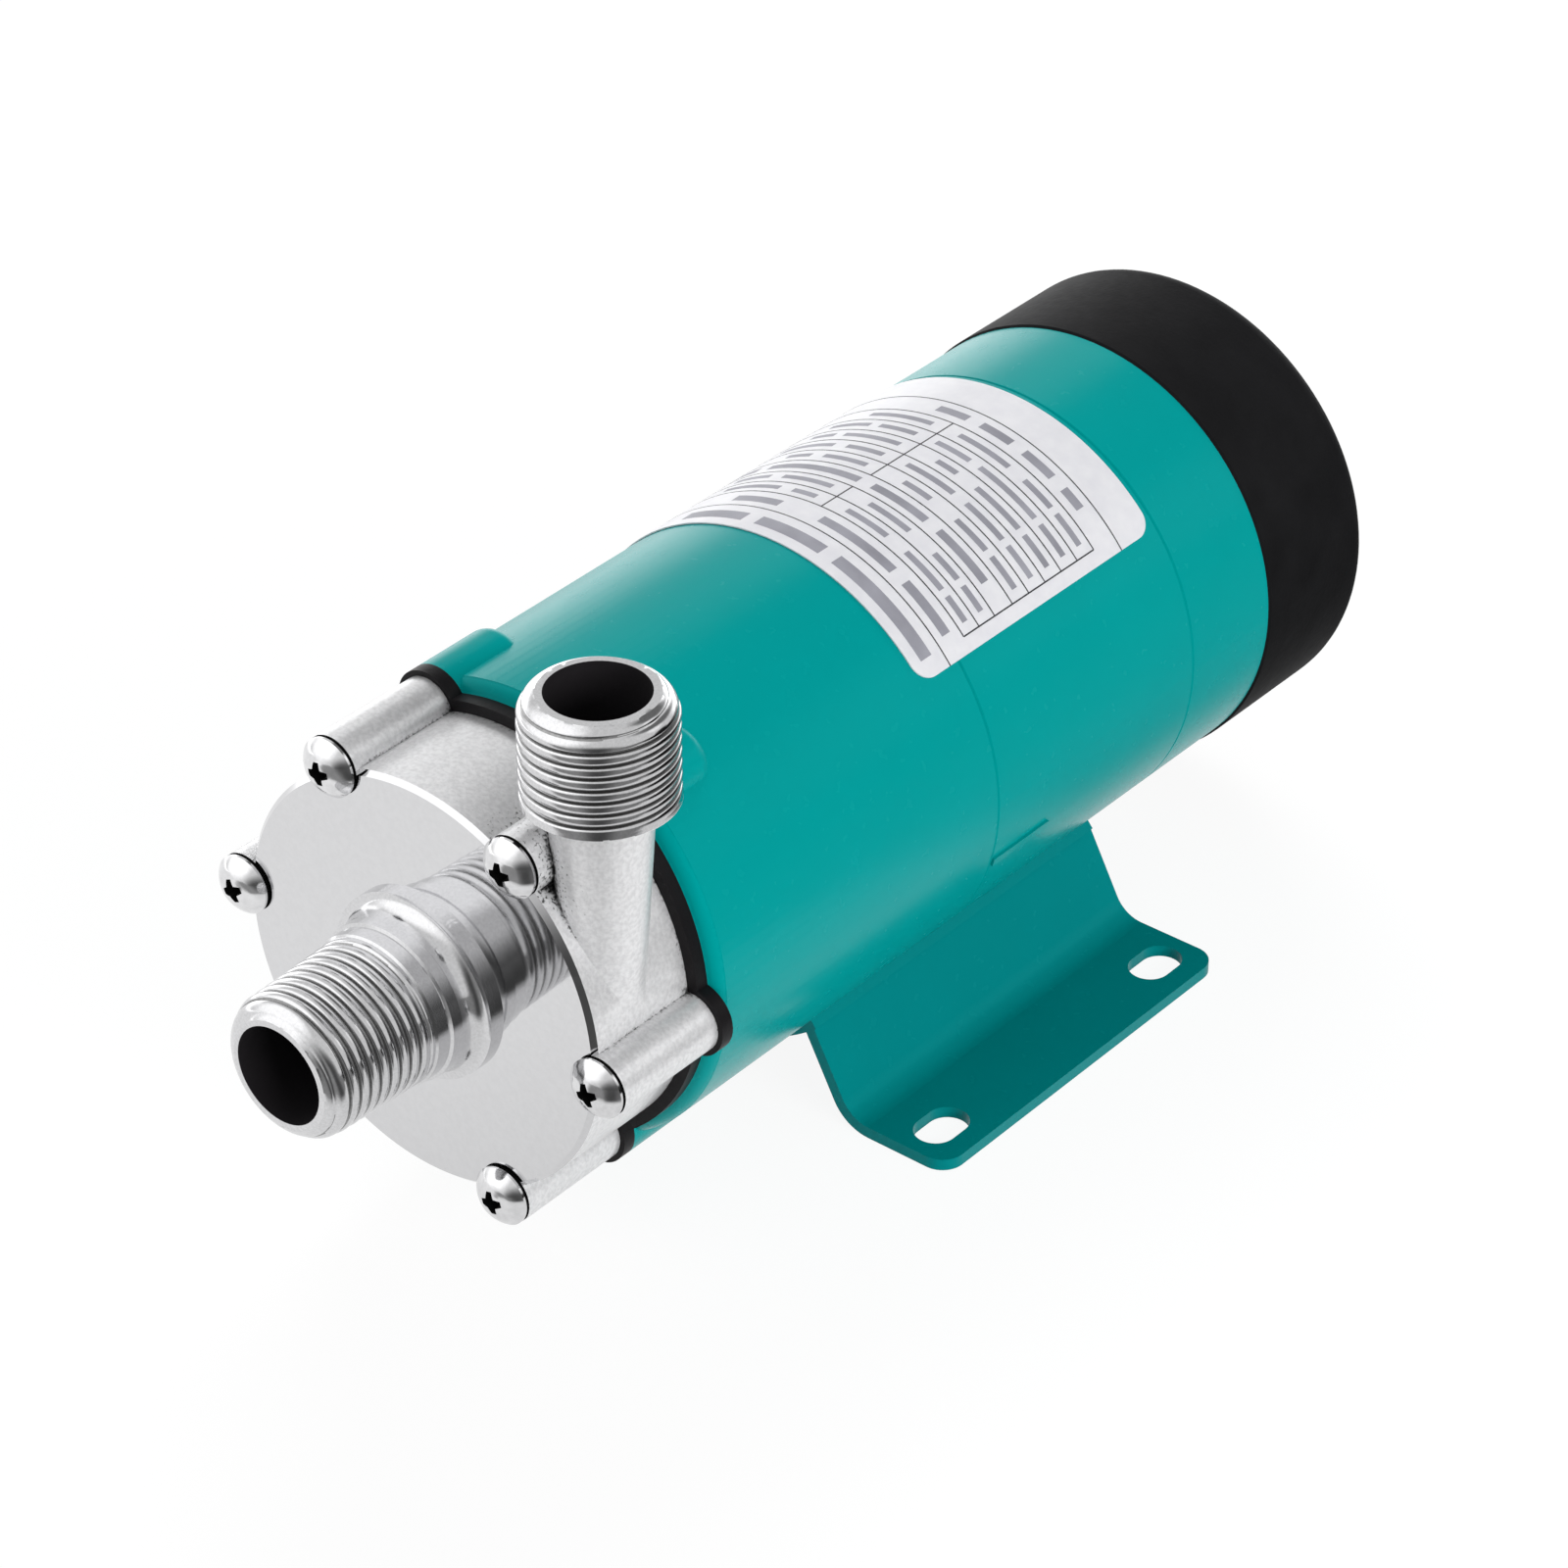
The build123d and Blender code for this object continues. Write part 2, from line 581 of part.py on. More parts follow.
def drive_yoke():
    """Steel cup that carries the drive magnets round the can."""
    body = ring(YOKE_R, YOKE_BORE_R, YOKE_FRONT, YOKE_WEB_FRONT)
    body += rod(YOKE_R, YOKE_WEB_FRONT, YOKE_WEB_FRONT + YOKE_WEB)
    body += rod(YOKE_HUB_R, YOKE_WEB_FRONT, YOKE_HUB_BACK)
    body -= rod(BEARING_BORE_R + SEAT_GAP, YOKE_WEB_FRONT, YOKE_HUB_BACK)
    return body - radial(SET_SCREW_R + SEAT_GAP, 0, YOKE_HUB_R + THROUGH, SET_SCREW_Y, 0)


def yoke_set_screw():
    foot = BEARING_BORE_R + SEAT_GAP
    return radial(SET_SCREW_R, foot, YOKE_HUB_R - SET_SCREW_DEPTH, SET_SCREW_Y, 0)


def drive_magnet(index):
    middle = 360 / MAGNET_COUNT * index
    arc = sector(MAGNET_R + MAGNET_THICK, MAGNET_R, middle - MAGNET_ARC / 2, middle + MAGNET_ARC / 2)
    return slab(arc, YOKE_FRONT, YOKE_FRONT + MAGNET_LENGTH)


def bearing_seat(y):
    """Hub for a bearing that slides in from the rear against a lip."""
    return rod(BEARING_SEAT_R, y - BEARING_LIP, y + BEARING_WIDTH)


def bearing_hole(y):
    hole = rod(BEARING_OUTER_R + SEAT_GAP, y, y + BEARING_WIDTH)
    return hole + rod(BEARING_OUTER_R - BEARING_LIP_RISE, y - BEARING_LIP, y)


def web_vents(y1, y2):
    vents = []
    for n in range(VENT_COUNT):
        at = polar(VENT_CIRCLE_R, VENT_ANGLE + 360 / VENT_COUNT * n)
        vents.append(rod(VENT_R, y1, y2, at))
    return vents


def front_housing():
    """Casing round the drive magnets, with screw ears and the front bearing's web."""
    body = rod(MOTOR_R, CASING, SEAM_1)
    body = chamfer(body.edges().sort_by(Axis.Y)[0], FRONT_CHAMFER)
    body = chamfer(body.edges().sort_by(Axis.Y)[-1], SEAM_CHAMFER)
    body -= rod(HOUSING_BORE_R, CASING, SEAM_1)
    body += rod(HOUSING_BORE_R + OVERLAP, FRONT_WEB, FRONT_WEB + WEB_THICK)
    body += bearing_seat(FRONT_BEARING)
    body -= bearing_hole(FRONT_BEARING)
    for vent in web_vents(FRONT_WEB, FRONT_WEB + WEB_THICK):
        body -= vent
    for angle in TIE_ANGLES:
        at = polar(TIE_CIRCLE_R, angle)
        floor = FRONT_WEB + TIE_FLOOR
        body += rod(TIE_BOSS_R, FRONT_WEB, floor + TIE_BITE, at)
        body -= rod(TIE_R + SEAT_GAP, floor, floor + TIE_BITE, at)
    for angle in SCREW_ANGLES:
        at = polar(SCREW_CIRCLE_R, angle)
        ear = rod(EAR_R, CASING, CASING + EAR_LENGTH, at)
        body += fillet(ear.edges().sort_by(Axis.Y)[-1], EAR_ROUND)
        body -= rod(SCREW_R + SEAT_GAP, CASING, CASING + SCREW_BITE + SCREW_TIP, at)
    return body - foot_screw_hole(FOOT_SCREW_YS[0])


def foot_screw_hole(y):
    floor_r = MOTOR_R - FOOT_SCREW_BITE - FOOT_SCREW_TIP
    return radial(FOOT_SCREW_R + SEAT_GAP, floor_r, MOTOR_R + THROUGH, y, -90)


def motor_shell():
    body = rod(MOTOR_R, SEAM_1, SEAM_2)
    body = chamfer(body.edges().group_by(Axis.Y)[0], SEAM_CHAMFER)
    body = chamfer(body.edges().group_by(Axis.Y)[-1], SEAM_CHAMFER)
    body -= rod(SHELL_BORE_R, SEAM_1, SEAM_2)
    half = math.degrees(STRIP_WIDTH / 2 / MOTOR_R)
    strip = sector(MOTOR_R + STRIP_RISE, MOTOR_R - OVERLAP, STRIP_ANGLE - half, STRIP_ANGLE + half)
    body += slab(strip, SEAM_1 + SEAM_CHAMFER, SEAM_1 + SEAM_CHAMFER + STRIP_LENGTH)
    return body - foot_screw_hole(FOOT_SCREW_YS[1])


def rear_end_bell():
    """Rear casing ring with the rear bearing's web and the cover's posts."""
    body = rod(MOTOR_R, SEAM_2, COVER)
    body = chamfer(body.edges().group_by(Axis.Y)[0], SEAM_CHAMFER)
    body += rod(LAP_R, COVER, COVER + COVER_LAP)
    body -= rod(HOUSING_BORE_R, SEAM_2, COVER)
    body -= rod(LAP_R - LAP_WALL, COVER, COVER + COVER_LAP)
    body += rod(HOUSING_BORE_R + OVERLAP, REAR_WEB, REAR_WEB_BACK)
    body += bearing_seat(REAR_BEARING)
    body -= bearing_hole(REAR_BEARING)
    for vent in web_vents(REAR_WEB, REAR_WEB_BACK):
        body -= vent
    for angle in TIE_ANGLES:
        body -= rod(TIE_R + SCREW_GAP, REAR_WEB, REAR_WEB_BACK, polar(TIE_CIRCLE_R, angle))
    for angle in POST_ANGLES:
        at = polar(POST_CIRCLE_R, angle)
        body += rod(POST_R, REAR_WEB_BACK - OVERLAP, POST_BACK, at)
        depth = COVER_SCREW_LENGTH - COVER_PAD + SCREW_TIP
        body -= rod(COVER_SCREW_R + SEAT_GAP, POST_BACK - depth, POST_BACK, at)
    return body - grommet_hole(GROMMET_R)


def grommet_hole(radius):
    return radial(radius, HOUSING_BORE_R - THROUGH, MOTOR_R + THROUGH, GROMMET_Y, GROMMET_ANGLE)


def cable_grommet():
    """Rubber plug whose rims hug the bell's wall inside and out."""
    wall = ring(MOTOR_R + SEAT_GAP, HOUSING_BORE_R - SEAT_GAP, SEAM_2, COVER)
    wall -= grommet_hole(GROMMET_R - SEAT_GAP)
    inner = HOUSING_BORE_R - GROMMET_RIM
    return radial(GROMMET_RIM_R, inner, MOTOR_R + GROMMET_RIM, GROMMET_Y, GROMMET_ANGLE) - wall


def bearing_outer_ring(y):
    return ring(BEARING_OUTER_R, OUTER_RACE_R, y, y + BEARING_WIDTH)


def bearing_inner_ring(y):
    outer = BEARING_BORE_R + INNER_RACE_WALL
    return ring(outer, BEARING_BORE_R + SEAT_GAP, y, y + BEARING_WIDTH)


def bearing_balls(y):
    """Balls held by a flat cage, clear of the outer ring."""
    centre_r = OUTER_RACE_R - RACE_GAP - BALL_R
    middle = y + BEARING_WIDTH / 2
    body = ring(centre_r + CAGE_WALL / 2, centre_r - CAGE_WALL / 2,
                middle - CAGE_WIDTH / 2, middle + CAGE_WIDTH / 2)
    for n in range(BALL_COUNT):
        turn = 360 / BALL_COUNT * n
        body += Rot(0, turn, 0) * Pos(centre_r, middle, 0) * Sphere(BALL_R)
    return body


def motor_shaft():
    """Shaft with thick middle between the bearings' inner rings."""
    body = rod(BEARING_BORE_R, YOKE_WEB_FRONT, SHAFT_BACK)
    return body + rod(SHAFT_R, FRONT_BEARING + BEARING_WIDTH, REAR_BEARING)


def rotor_core():
    return ring(ROTOR_R, SHAFT_R + SEAT_GAP, STACK_FRONT, STACK_BACK)


def rotor_end_ring(y):
    outer = ROTOR_R - END_RING_INSET
    return ring(outer, outer - END_RING_WALL, y, y + END_RING_LENGTH)


def slot_outline(gap):
    """Winding slot with a narrow mouth toward the rotor."""
    depth = SLOT_OUTER_R - SLOT_INNER_R - 2 * gap
    middle = (SLOT_OUTER_R + SLOT_INNER_R) / 2
    return Pos(middle, 0) * RectangleRounded(depth, SLOT_WIDTH - 2 * gap, SLOT_ROUND)


def stator_core():
    outline = Circle(SHELL_BORE_R - SEAT_GAP) - Circle(STATOR_BORE_R)
    mouth = Pos(STATOR_BORE_R + TOOTH_TIP / 2, 0) * Rectangle(TOOTH_TIP + 2 * OVERLAP, SLOT_MOUTH)
    for n in range(SLOT_COUNT):
        outline -= Rot(0, 0, 360 / SLOT_COUNT * n) * (slot_outline(0) + mouth)
    for angle in TIE_ANGLES:
        outline -= Pos(*polar(TIE_CIRCLE_R, angle)) * Circle(TIE_R + SCREW_GAP)
    return slab(outline, STACK_FRONT, STACK_BACK)


def coil_end(y1, y2, outer_face):
    """Bundle of wire that joins the slots outside the stack."""
    body = ring(SLOT_OUTER_R - COIL_GAP, SLOT_INNER_R + COIL_GAP, y1, y2)
    return chamfer(body.edges().group_by(Axis.Y)[outer_face], COIL_EDGE)


def stator_windings():
    front = STACK_FRONT - COIL_GAP
    back = STACK_BACK + COIL_GAP
    body = coil_end(front - COIL_OVERHANG, front, 0)
    body += coil_end(back, back + COIL_OVERHANG, -1)
    for n in range(SLOT_COUNT):
        side = Rot(0, 0, 360 / SLOT_COUNT * n) * slot_outline(COIL_GAP)
        body += slab(side, front - OVERLAP, back + OVERLAP)
    return body


def tie_bolt(angle):
    """Long bolt from the rear web through the stack into the front web."""
    length = REAR_WEB_BACK - FRONT_WEB - TIE_FLOOR - TIE_TIP
    bolt = rod(TIE_R, -length, 0) + slab(RegularPolygon(TIE_HEAD_R, 6), 0, TIE_HEAD_HEIGHT)
    x, z = polar(TIE_CIRCLE_R, angle)
    return Pos(x, REAR_WEB_BACK, z) * bolt


def cooling_fan():
    body = rod(FAN_HUB_R, FAN_FRONT, FAN_FRONT + FAN_HUB_LENGTH)
    body += rod(FAN_R, FAN_FRONT, FAN_FRONT + FAN_PLATE)
    blade_foot = FAN_HUB_R - OVERLAP
    blade = Pos((FAN_R + blade_foot) / 2, 0) * Rectangle(FAN_R - blade_foot, FAN_BLADE_THICK)
    for n in range(FAN_BLADES):
        turned_blade = Rot(0, 0, 360 / FAN_BLADES * n) * blade
        body += slab(turned_blade, FAN_FRONT, FAN_FRONT + FAN_PLATE + FAN_BLADE_HEIGHT)
    return body - rod(BEARING_BORE_R + SEAT_GAP, FAN_FRONT, FAN_FRONT + FAN_HUB_LENGTH)


def fan_cover():
    """Moulded cap with a rounded rear edge and radial slots for the fan's air."""
    body = rod(COVER_R, COVER, REAR)
    body = fillet(body.edges().group_by(Axis.Y)[-1], COVER_ROUND)
    body = chamfer(body.edges().group_by(Axis.Y)[0], COVER_EDGE)
    body -= rod(COVER_R - COVER_WALL, COVER, REAR - COVER_END_WALL)
    for angle in POST_ANGLES:
        at = polar(POST_CIRCLE_R, angle)
        body += rod(COVER_PAD_R, POST_BACK, REAR - COVER_END_WALL, at)
        body -= rod(COVER_SCREW_R + SCREW_GAP, POST_BACK, REAR, at)
        body -= rod(COVER_HEAD_R + SCREW_GAP, cover_screw_seat(), REAR, at)
    middle = (REAR_VENT_OUTER_R + REAR_VENT_INNER_R) / 2
    slot = Pos(middle, 0) * SlotOverall(REAR_VENT_OUTER_R - REAR_VENT_INNER_R, REAR_VENT_WIDTH)
    for n in range(REAR_VENT_COUNT):
        body -= slab(Rot(0, 0, 360 / REAR_VENT_COUNT * n) * slot, REAR - COVER_END_WALL, REAR)
    return body


def cover_screw_seat():
    return REAR - COVER_HEAD_HEIGHT - COVER_HEAD_SINK


def fan_cover_screw(angle):
    screw = pan_screw(COVER_HEAD_R, COVER_HEAD_HEIGHT, COVER_HEAD_RIM,
                      COVER_SCREW_R, COVER_SCREW_LENGTH)
    x, z = polar(POST_CIRCLE_R, angle)
    return Pos(x, cover_screw_seat(), z) * Rot(0, 0, 180) * screw


def foot_side(side):
    """Leg and flange of one side, drawn in x and z, before the bend is rounded."""
    sole = -AXIS_HEIGHT
    slope = math.tan(math.radians(FOOT_LEG_ANGLE))
    across = FOOT_SHEET / math.sin(math.radians(FOOT_LEG_ANGLE))
    top_x, top_z = polar(SADDLE_R, FOOT_LEG_TOP)
    outer_x = top_x + (top_z - sole - FOOT_SHEET) / slope
    inner_x = top_x + (top_z - sole) / slope - across
    edge_x = FOOT_WIDTH / 2
    face = make_face(Polyline(
        (top_x, top_z),
        (outer_x, sole + FOOT_SHEET),
        (edge_x, sole + FOOT_SHEET),
        (edge_x, sole),
        (inner_x, sole),
        (top_x - across, top_z),
        (top_x, top_z),
    ))
    bends = face.vertices().filter_by(lambda v: abs(v.X - outer_x) < 0.01)
    face = fillet(bends, FOOT_BEND_R)
    bends = face.vertices().filter_by(lambda v: abs(v.X - inner_x) < 0.01)
    face = fillet(bends, FOOT_BEND_R + FOOT_SHEET)
    return face if side > 0 else mirror(face, Plane.YZ)


def foot_bracket():
    """Saddle, two sloping legs and two slotted flanges, bent from one sheet."""
    front = FOOT_Y - FOOT_LENGTH / 2
    back = FOOT_Y + FOOT_LENGTH / 2
    saddle = sector(SADDLE_R + FOOT_SHEET, SADDLE_R, FOOT_LEG_TOP, -180 - FOOT_LEG_TOP)
    body = slab(saddle + foot_side(1) + foot_side(-1), front, back)
    body -= rod(SADDLE_R, front, back)
    corners = body.edges().filter_by(Axis.Z).filter_by(
        lambda e: abs(abs(e.center().X) - FOOT_WIDTH / 2) < 0.01)
    body = fillet(corners, FOOT_CORNER_R)
    slot = Rot(0, 0, 90) * SlotOverall(FOOT_SLOT_LENGTH, FOOT_SLOT_WIDTH)
    for side in (-1, 1):
        for end in (-1, 1):
            at = Pos(side * SLOT_SPACING_X / 2, FOOT_Y + end * SLOT_SPACING_Y / 2, -AXIS_HEIGHT)
            body -= at * extrude(slot, amount=FOOT_SHEET)
    for y in FOOT_SCREW_YS:
        body -= radial(FOOT_SCREW_R + SCREW_GAP, MOTOR_R, SADDLE_R + FOOT_SHEET + THROUGH, y, -90)
    return body


def foot_screw(y):
    """Screw that holds the saddle to the motor from below."""
    length = FOOT_SHEET + FOOT_SCREW_BITE
    screw = pan_screw(FOOT_HEAD_R, FOOT_HEAD_HEIGHT, FOOT_HEAD_RIM, FOOT_SCREW_R, length)
    seat = SADDLE_R + FOOT_SHEET + FOOT_HEAD_GAP
    return Pos(0, y, -seat) * Rot(90, 0, 0) * screw


def rating_label():
    """Thin sheet wrapped round the motor, with rounded corners."""
    front = SEAM_1 - LABEL_LEAD
    inner = MOTOR_R + LABEL_GLUE
    sheet = sector(inner + LABEL_THICK, inner, LABEL_START, LABEL_END)
    body = slab(sheet, front, front + LABEL_LENGTH)
    corners = body.edges().filter_by(lambda e: abs(e.length - LABEL_THICK) < LABEL_THICK / 2)
    return fillet(corners, LABEL_CORNER_R)


def pieces():
    named = {
        "pump_head": pump_head(),
        "casing_o_ring": casing_o_ring(),
        "rear_casing": rear_casing(),
        "spindle": spindle(),
        "front_thrust_ring": thrust_ring(FRONT_THRUST),
        "rear_thrust_ring": thrust_ring(REAR_THRUST),
        "impeller": impeller(),
        "driven_magnet": driven_magnet(),
        "impeller_bush": impeller_bush(),
        "drive_yoke": drive_yoke(),
        "yoke_set_screw": yoke_set_screw(),
        "front_housing": front_housing(),
        "motor_shell": motor_shell(),
        "rear_end_bell": rear_end_bell(),
        "cable_grommet": cable_grommet(),
        "motor_shaft": motor_shaft(),
        "rotor_core": rotor_core(),
        "front_rotor_end_ring": rotor_end_ring(STACK_FRONT - END_RING_LENGTH),
        "rear_rotor_end_ring": rotor_end_ring(STACK_BACK),
        "stator_core": stator_core(),
        "stator_windings": stator_windings(),
        "cooling_fan": cooling_fan(),
        "fan_cover": fan_cover(),
        "foot_bracket": foot_bracket(),
        "rating_label": rating_label(),
    }
    for name, y in (("front", FRONT_BEARING), ("rear", REAR_BEARING)):
        named[name + "_bearing_outer_ring"] = bearing_outer_ring(y)
        named[name + "_bearing_inner_ring"] = bearing_inner_ring(y)
        named[name + "_bearing_balls"] = bearing_balls(y)
    for n, angle in enumerate(SCREW_ANGLES, 1):
        named[f"head_screw_{n}"] = head_screw(angle)
    for n in range(MAGNET_COUNT):
        named[f"drive_magnet_{n + 1}"] = drive_magnet(n)
    for n, angle in enumerate(TIE_ANGLES, 1):
        named[f"tie_bolt_{n}"] = tie_bolt(angle)
    for n, angle in enumerate(POST_ANGLES, 1):
        named[f"fan_cover_screw_{n}"] = fan_cover_screw(angle)
    for n, y in enumerate(FOOT_SCREW_YS, 1):
        named[f"foot_screw_{n}"] = foot_screw(y)
    return named


os.makedirs("parts", exist_ok=True)
for node, shape in pieces().items():
    export_step(Pos(0, 0, AXIS_HEIGHT) * shape, f"parts/{node}.step")
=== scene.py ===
import math

import bmesh
import bpy
import numpy as np
from mathutils import Matrix, Vector


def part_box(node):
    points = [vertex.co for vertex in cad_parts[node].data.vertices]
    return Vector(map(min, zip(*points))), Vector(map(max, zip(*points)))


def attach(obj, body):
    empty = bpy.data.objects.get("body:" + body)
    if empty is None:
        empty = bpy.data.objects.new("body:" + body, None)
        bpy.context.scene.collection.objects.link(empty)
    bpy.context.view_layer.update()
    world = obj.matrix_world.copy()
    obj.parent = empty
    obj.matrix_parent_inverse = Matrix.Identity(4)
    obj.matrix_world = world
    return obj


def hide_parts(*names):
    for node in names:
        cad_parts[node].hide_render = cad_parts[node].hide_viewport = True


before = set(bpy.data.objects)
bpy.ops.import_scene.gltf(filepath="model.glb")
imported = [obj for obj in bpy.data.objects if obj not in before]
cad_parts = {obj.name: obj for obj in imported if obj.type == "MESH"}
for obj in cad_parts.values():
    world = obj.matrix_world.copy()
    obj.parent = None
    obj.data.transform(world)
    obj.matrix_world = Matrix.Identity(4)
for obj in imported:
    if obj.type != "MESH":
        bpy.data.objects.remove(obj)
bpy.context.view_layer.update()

# Magnetic drive pump. Metres, +Z up, the inlet looks toward -Y. Angles round the
# shaft are seen from the inlet: 0 is +X and 90 is straight up.
MM = 0.001

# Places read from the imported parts
head_low, head_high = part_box("pump_head")
shell_low, shell_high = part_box("motor_shell")
AXIS_Z = (shell_low.z + shell_high.z) / 2
MOUTH_Y = head_low.y
OUTLET_TOP = head_high.z
LABEL_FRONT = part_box("rating_label")[0].y

# Sizes that the solids share with the part's source
FACE_Y = MOUTH_Y + 26.6 * MM
FACE_DEPTH = FACE_Y - MOUTH_Y
THREAD_R = 10.48 * MM
THREAD_PITCH = 1.814 * MM
THREAD_NOSE = 3.0 * MM
INLET_THREAD = 17.9 * MM
INLET_TAPER = 0.45 * MM
OUTLET_THREAD = 15.6 * MM
OUTLET_X = 25.3 * MM
OUTLET_Y = FACE_Y + 8.5 * MM
INLET_BORE_R = 7.2 * MM
OUTLET_BORE_R = 7.0 * MM
THROAT_R = 3.9 * MM
SCREW_CIRCLE_R = 31.5 * MM
SCREW_ANGLES = [56 + 60 * n for n in range(6)]
SCREW_HEAD = 2.6 * MM
SCREW_HEAD_R = 4.0 * MM
SCREW_SHANK_R = 2.0 * MM
HEAD_DEPTH = 18.3 * MM
MOTOR_R = 34.2 * MM
CASING_Y = FACE_Y + HEAD_DEPTH + 2.1 * MM

# Sizes that the dressed pieces take beyond the solids, read from the photograph
FULL_HEAD = 3.0 * MM
FULL_HEAD_R = 4.35 * MM
BOSS_R = 4.4 * MM
COLLAR_R = 11.2 * MM
NECK_RING_R = 11.65 * MM
PAD_R = 13.8 * MM
PAD_RISE = 1.2 * MM
FRONT_ROUND = 2.2 * MM
LABEL_R = 34.45 * MM

# Slack when a vertex or a face is told by where it lies
NEAR = 0.1 * MM


# Meshes

def new_object(name, verts, faces, material=None):
    mesh = bpy.data.meshes.new(name)
    mesh.from_pydata([tuple(v) for v in verts], [], faces)
    mesh.validate()
    obj = bpy.data.objects.new(name, mesh)
    bpy.context.scene.collection.objects.link(obj)
    if material is not None:
        mesh.materials.append(material)
    return obj


def clean(obj, merge=1e-6):
    """Joins doubled vertices and turns every face outward."""
    work = bmesh.new()
    work.from_mesh(obj.data)
    bmesh.ops.remove_doubles(work, verts=work.verts, dist=merge)
    bmesh.ops.dissolve_degenerate(work, edges=work.edges, dist=merge)
    bmesh.ops.recalc_face_normals(work, faces=work.faces)
    work.to_mesh(obj.data)
    work.free()


def shade(obj, angle):
    """Smooth shading, sharp where two faces meet at more than the angle."""
    obj.data.shade_smooth()
    obj.data.set_sharp_from_angle(angle=math.radians(angle))


def cad_copy(node, name):
    """Closed copy of a CAD node's mesh, free to be cut."""
    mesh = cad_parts[node].data.copy()
    mesh.name = name
    mesh.materials.clear()
    obj = bpy.data.objects.new(name, mesh)
    bpy.context.scene.collection.objects.link(obj)
    clean(obj)
    for layer_name in ("custom_normal", "sharp_edge", "sharp_face"):
        layer = mesh.attributes.get(layer_name)
        if layer:
            mesh.attributes.remove(layer)
    return obj


def combine(obj, other, place, operation):
    """Puts another closed mesh at a place, applies it to obj and removes it."""
    other.matrix_world = place
    modifier = obj.modifiers.new("combine", "BOOLEAN")
    modifier.operation = operation
    modifier.solver = "MANIFOLD"
    modifier.object = other
    graph = bpy.context.evaluated_depsgraph_get()
    mesh = bpy.data.meshes.new_from_object(obj.evaluated_get(graph))
    obj.modifiers.clear()
    mesh.name = obj.name
    mesh.materials.clear()
    obj.data = mesh
    bpy.data.objects.remove(other)


def cut(obj, cutter, place):
    """Takes the cutter's volume out of obj."""
    combine(obj, cutter, place, "DIFFERENCE")


def join(obj, skin, place):
    """Adds the skin's volume to obj."""
    combine(obj, skin, place, "UNION")


def turned(name, outline, columns=160):
    """Closed ring about Z, from an outline in radius and height."""
    verts, faces = [], []
    for j in range(columns):
        turn = 2 * math.pi * j / columns
        verts += [(r * math.cos(turn), r * math.sin(turn), z) for r, z in outline]
    count = len(outline)
    for j in range(columns):
        a, b = j * count, (j + 1) % columns * count
        for i in range(count):
            k = (i + 1) % count
            faces.append([a + i, b + i, b + k, a + k])
    obj = new_object(name, verts, faces)
    clean(obj, 1e-7)
    return obj


def quarter_turn(steps):
    """Angles from 0 to 90 degrees, in radians."""
    return [math.radians(90 * n / steps) for n in range(steps + 1)]


def along_shaft(x, y, z):
    """Turns local +Z toward the motor's rear and puts it at a place."""
    return Matrix.Translation((x, y, z)) @ Matrix.Rotation(math.radians(-90), 4, "X")


def at_screw(angle):
    """Place of a head screw's axis on the face, turned along the shaft."""
    turn = math.radians(angle)
    return along_shaft(SCREW_CIRCLE_R * math.cos(turn), FACE_Y, AXIS_Z + SCREW_CIRCLE_R * math.sin(turn))


# local +Z runs from each spigot's mouth into the head
IN_INLET = along_shaft(0, MOUTH_Y, AXIS_Z)
IN_OUTLET = Matrix.Translation((OUTLET_X, OUTLET_Y, OUTLET_TOP)) @ Matrix.Rotation(math.radians(180), 4, "X")


# Node trees

WHITE = (1, 1, 1, 1)


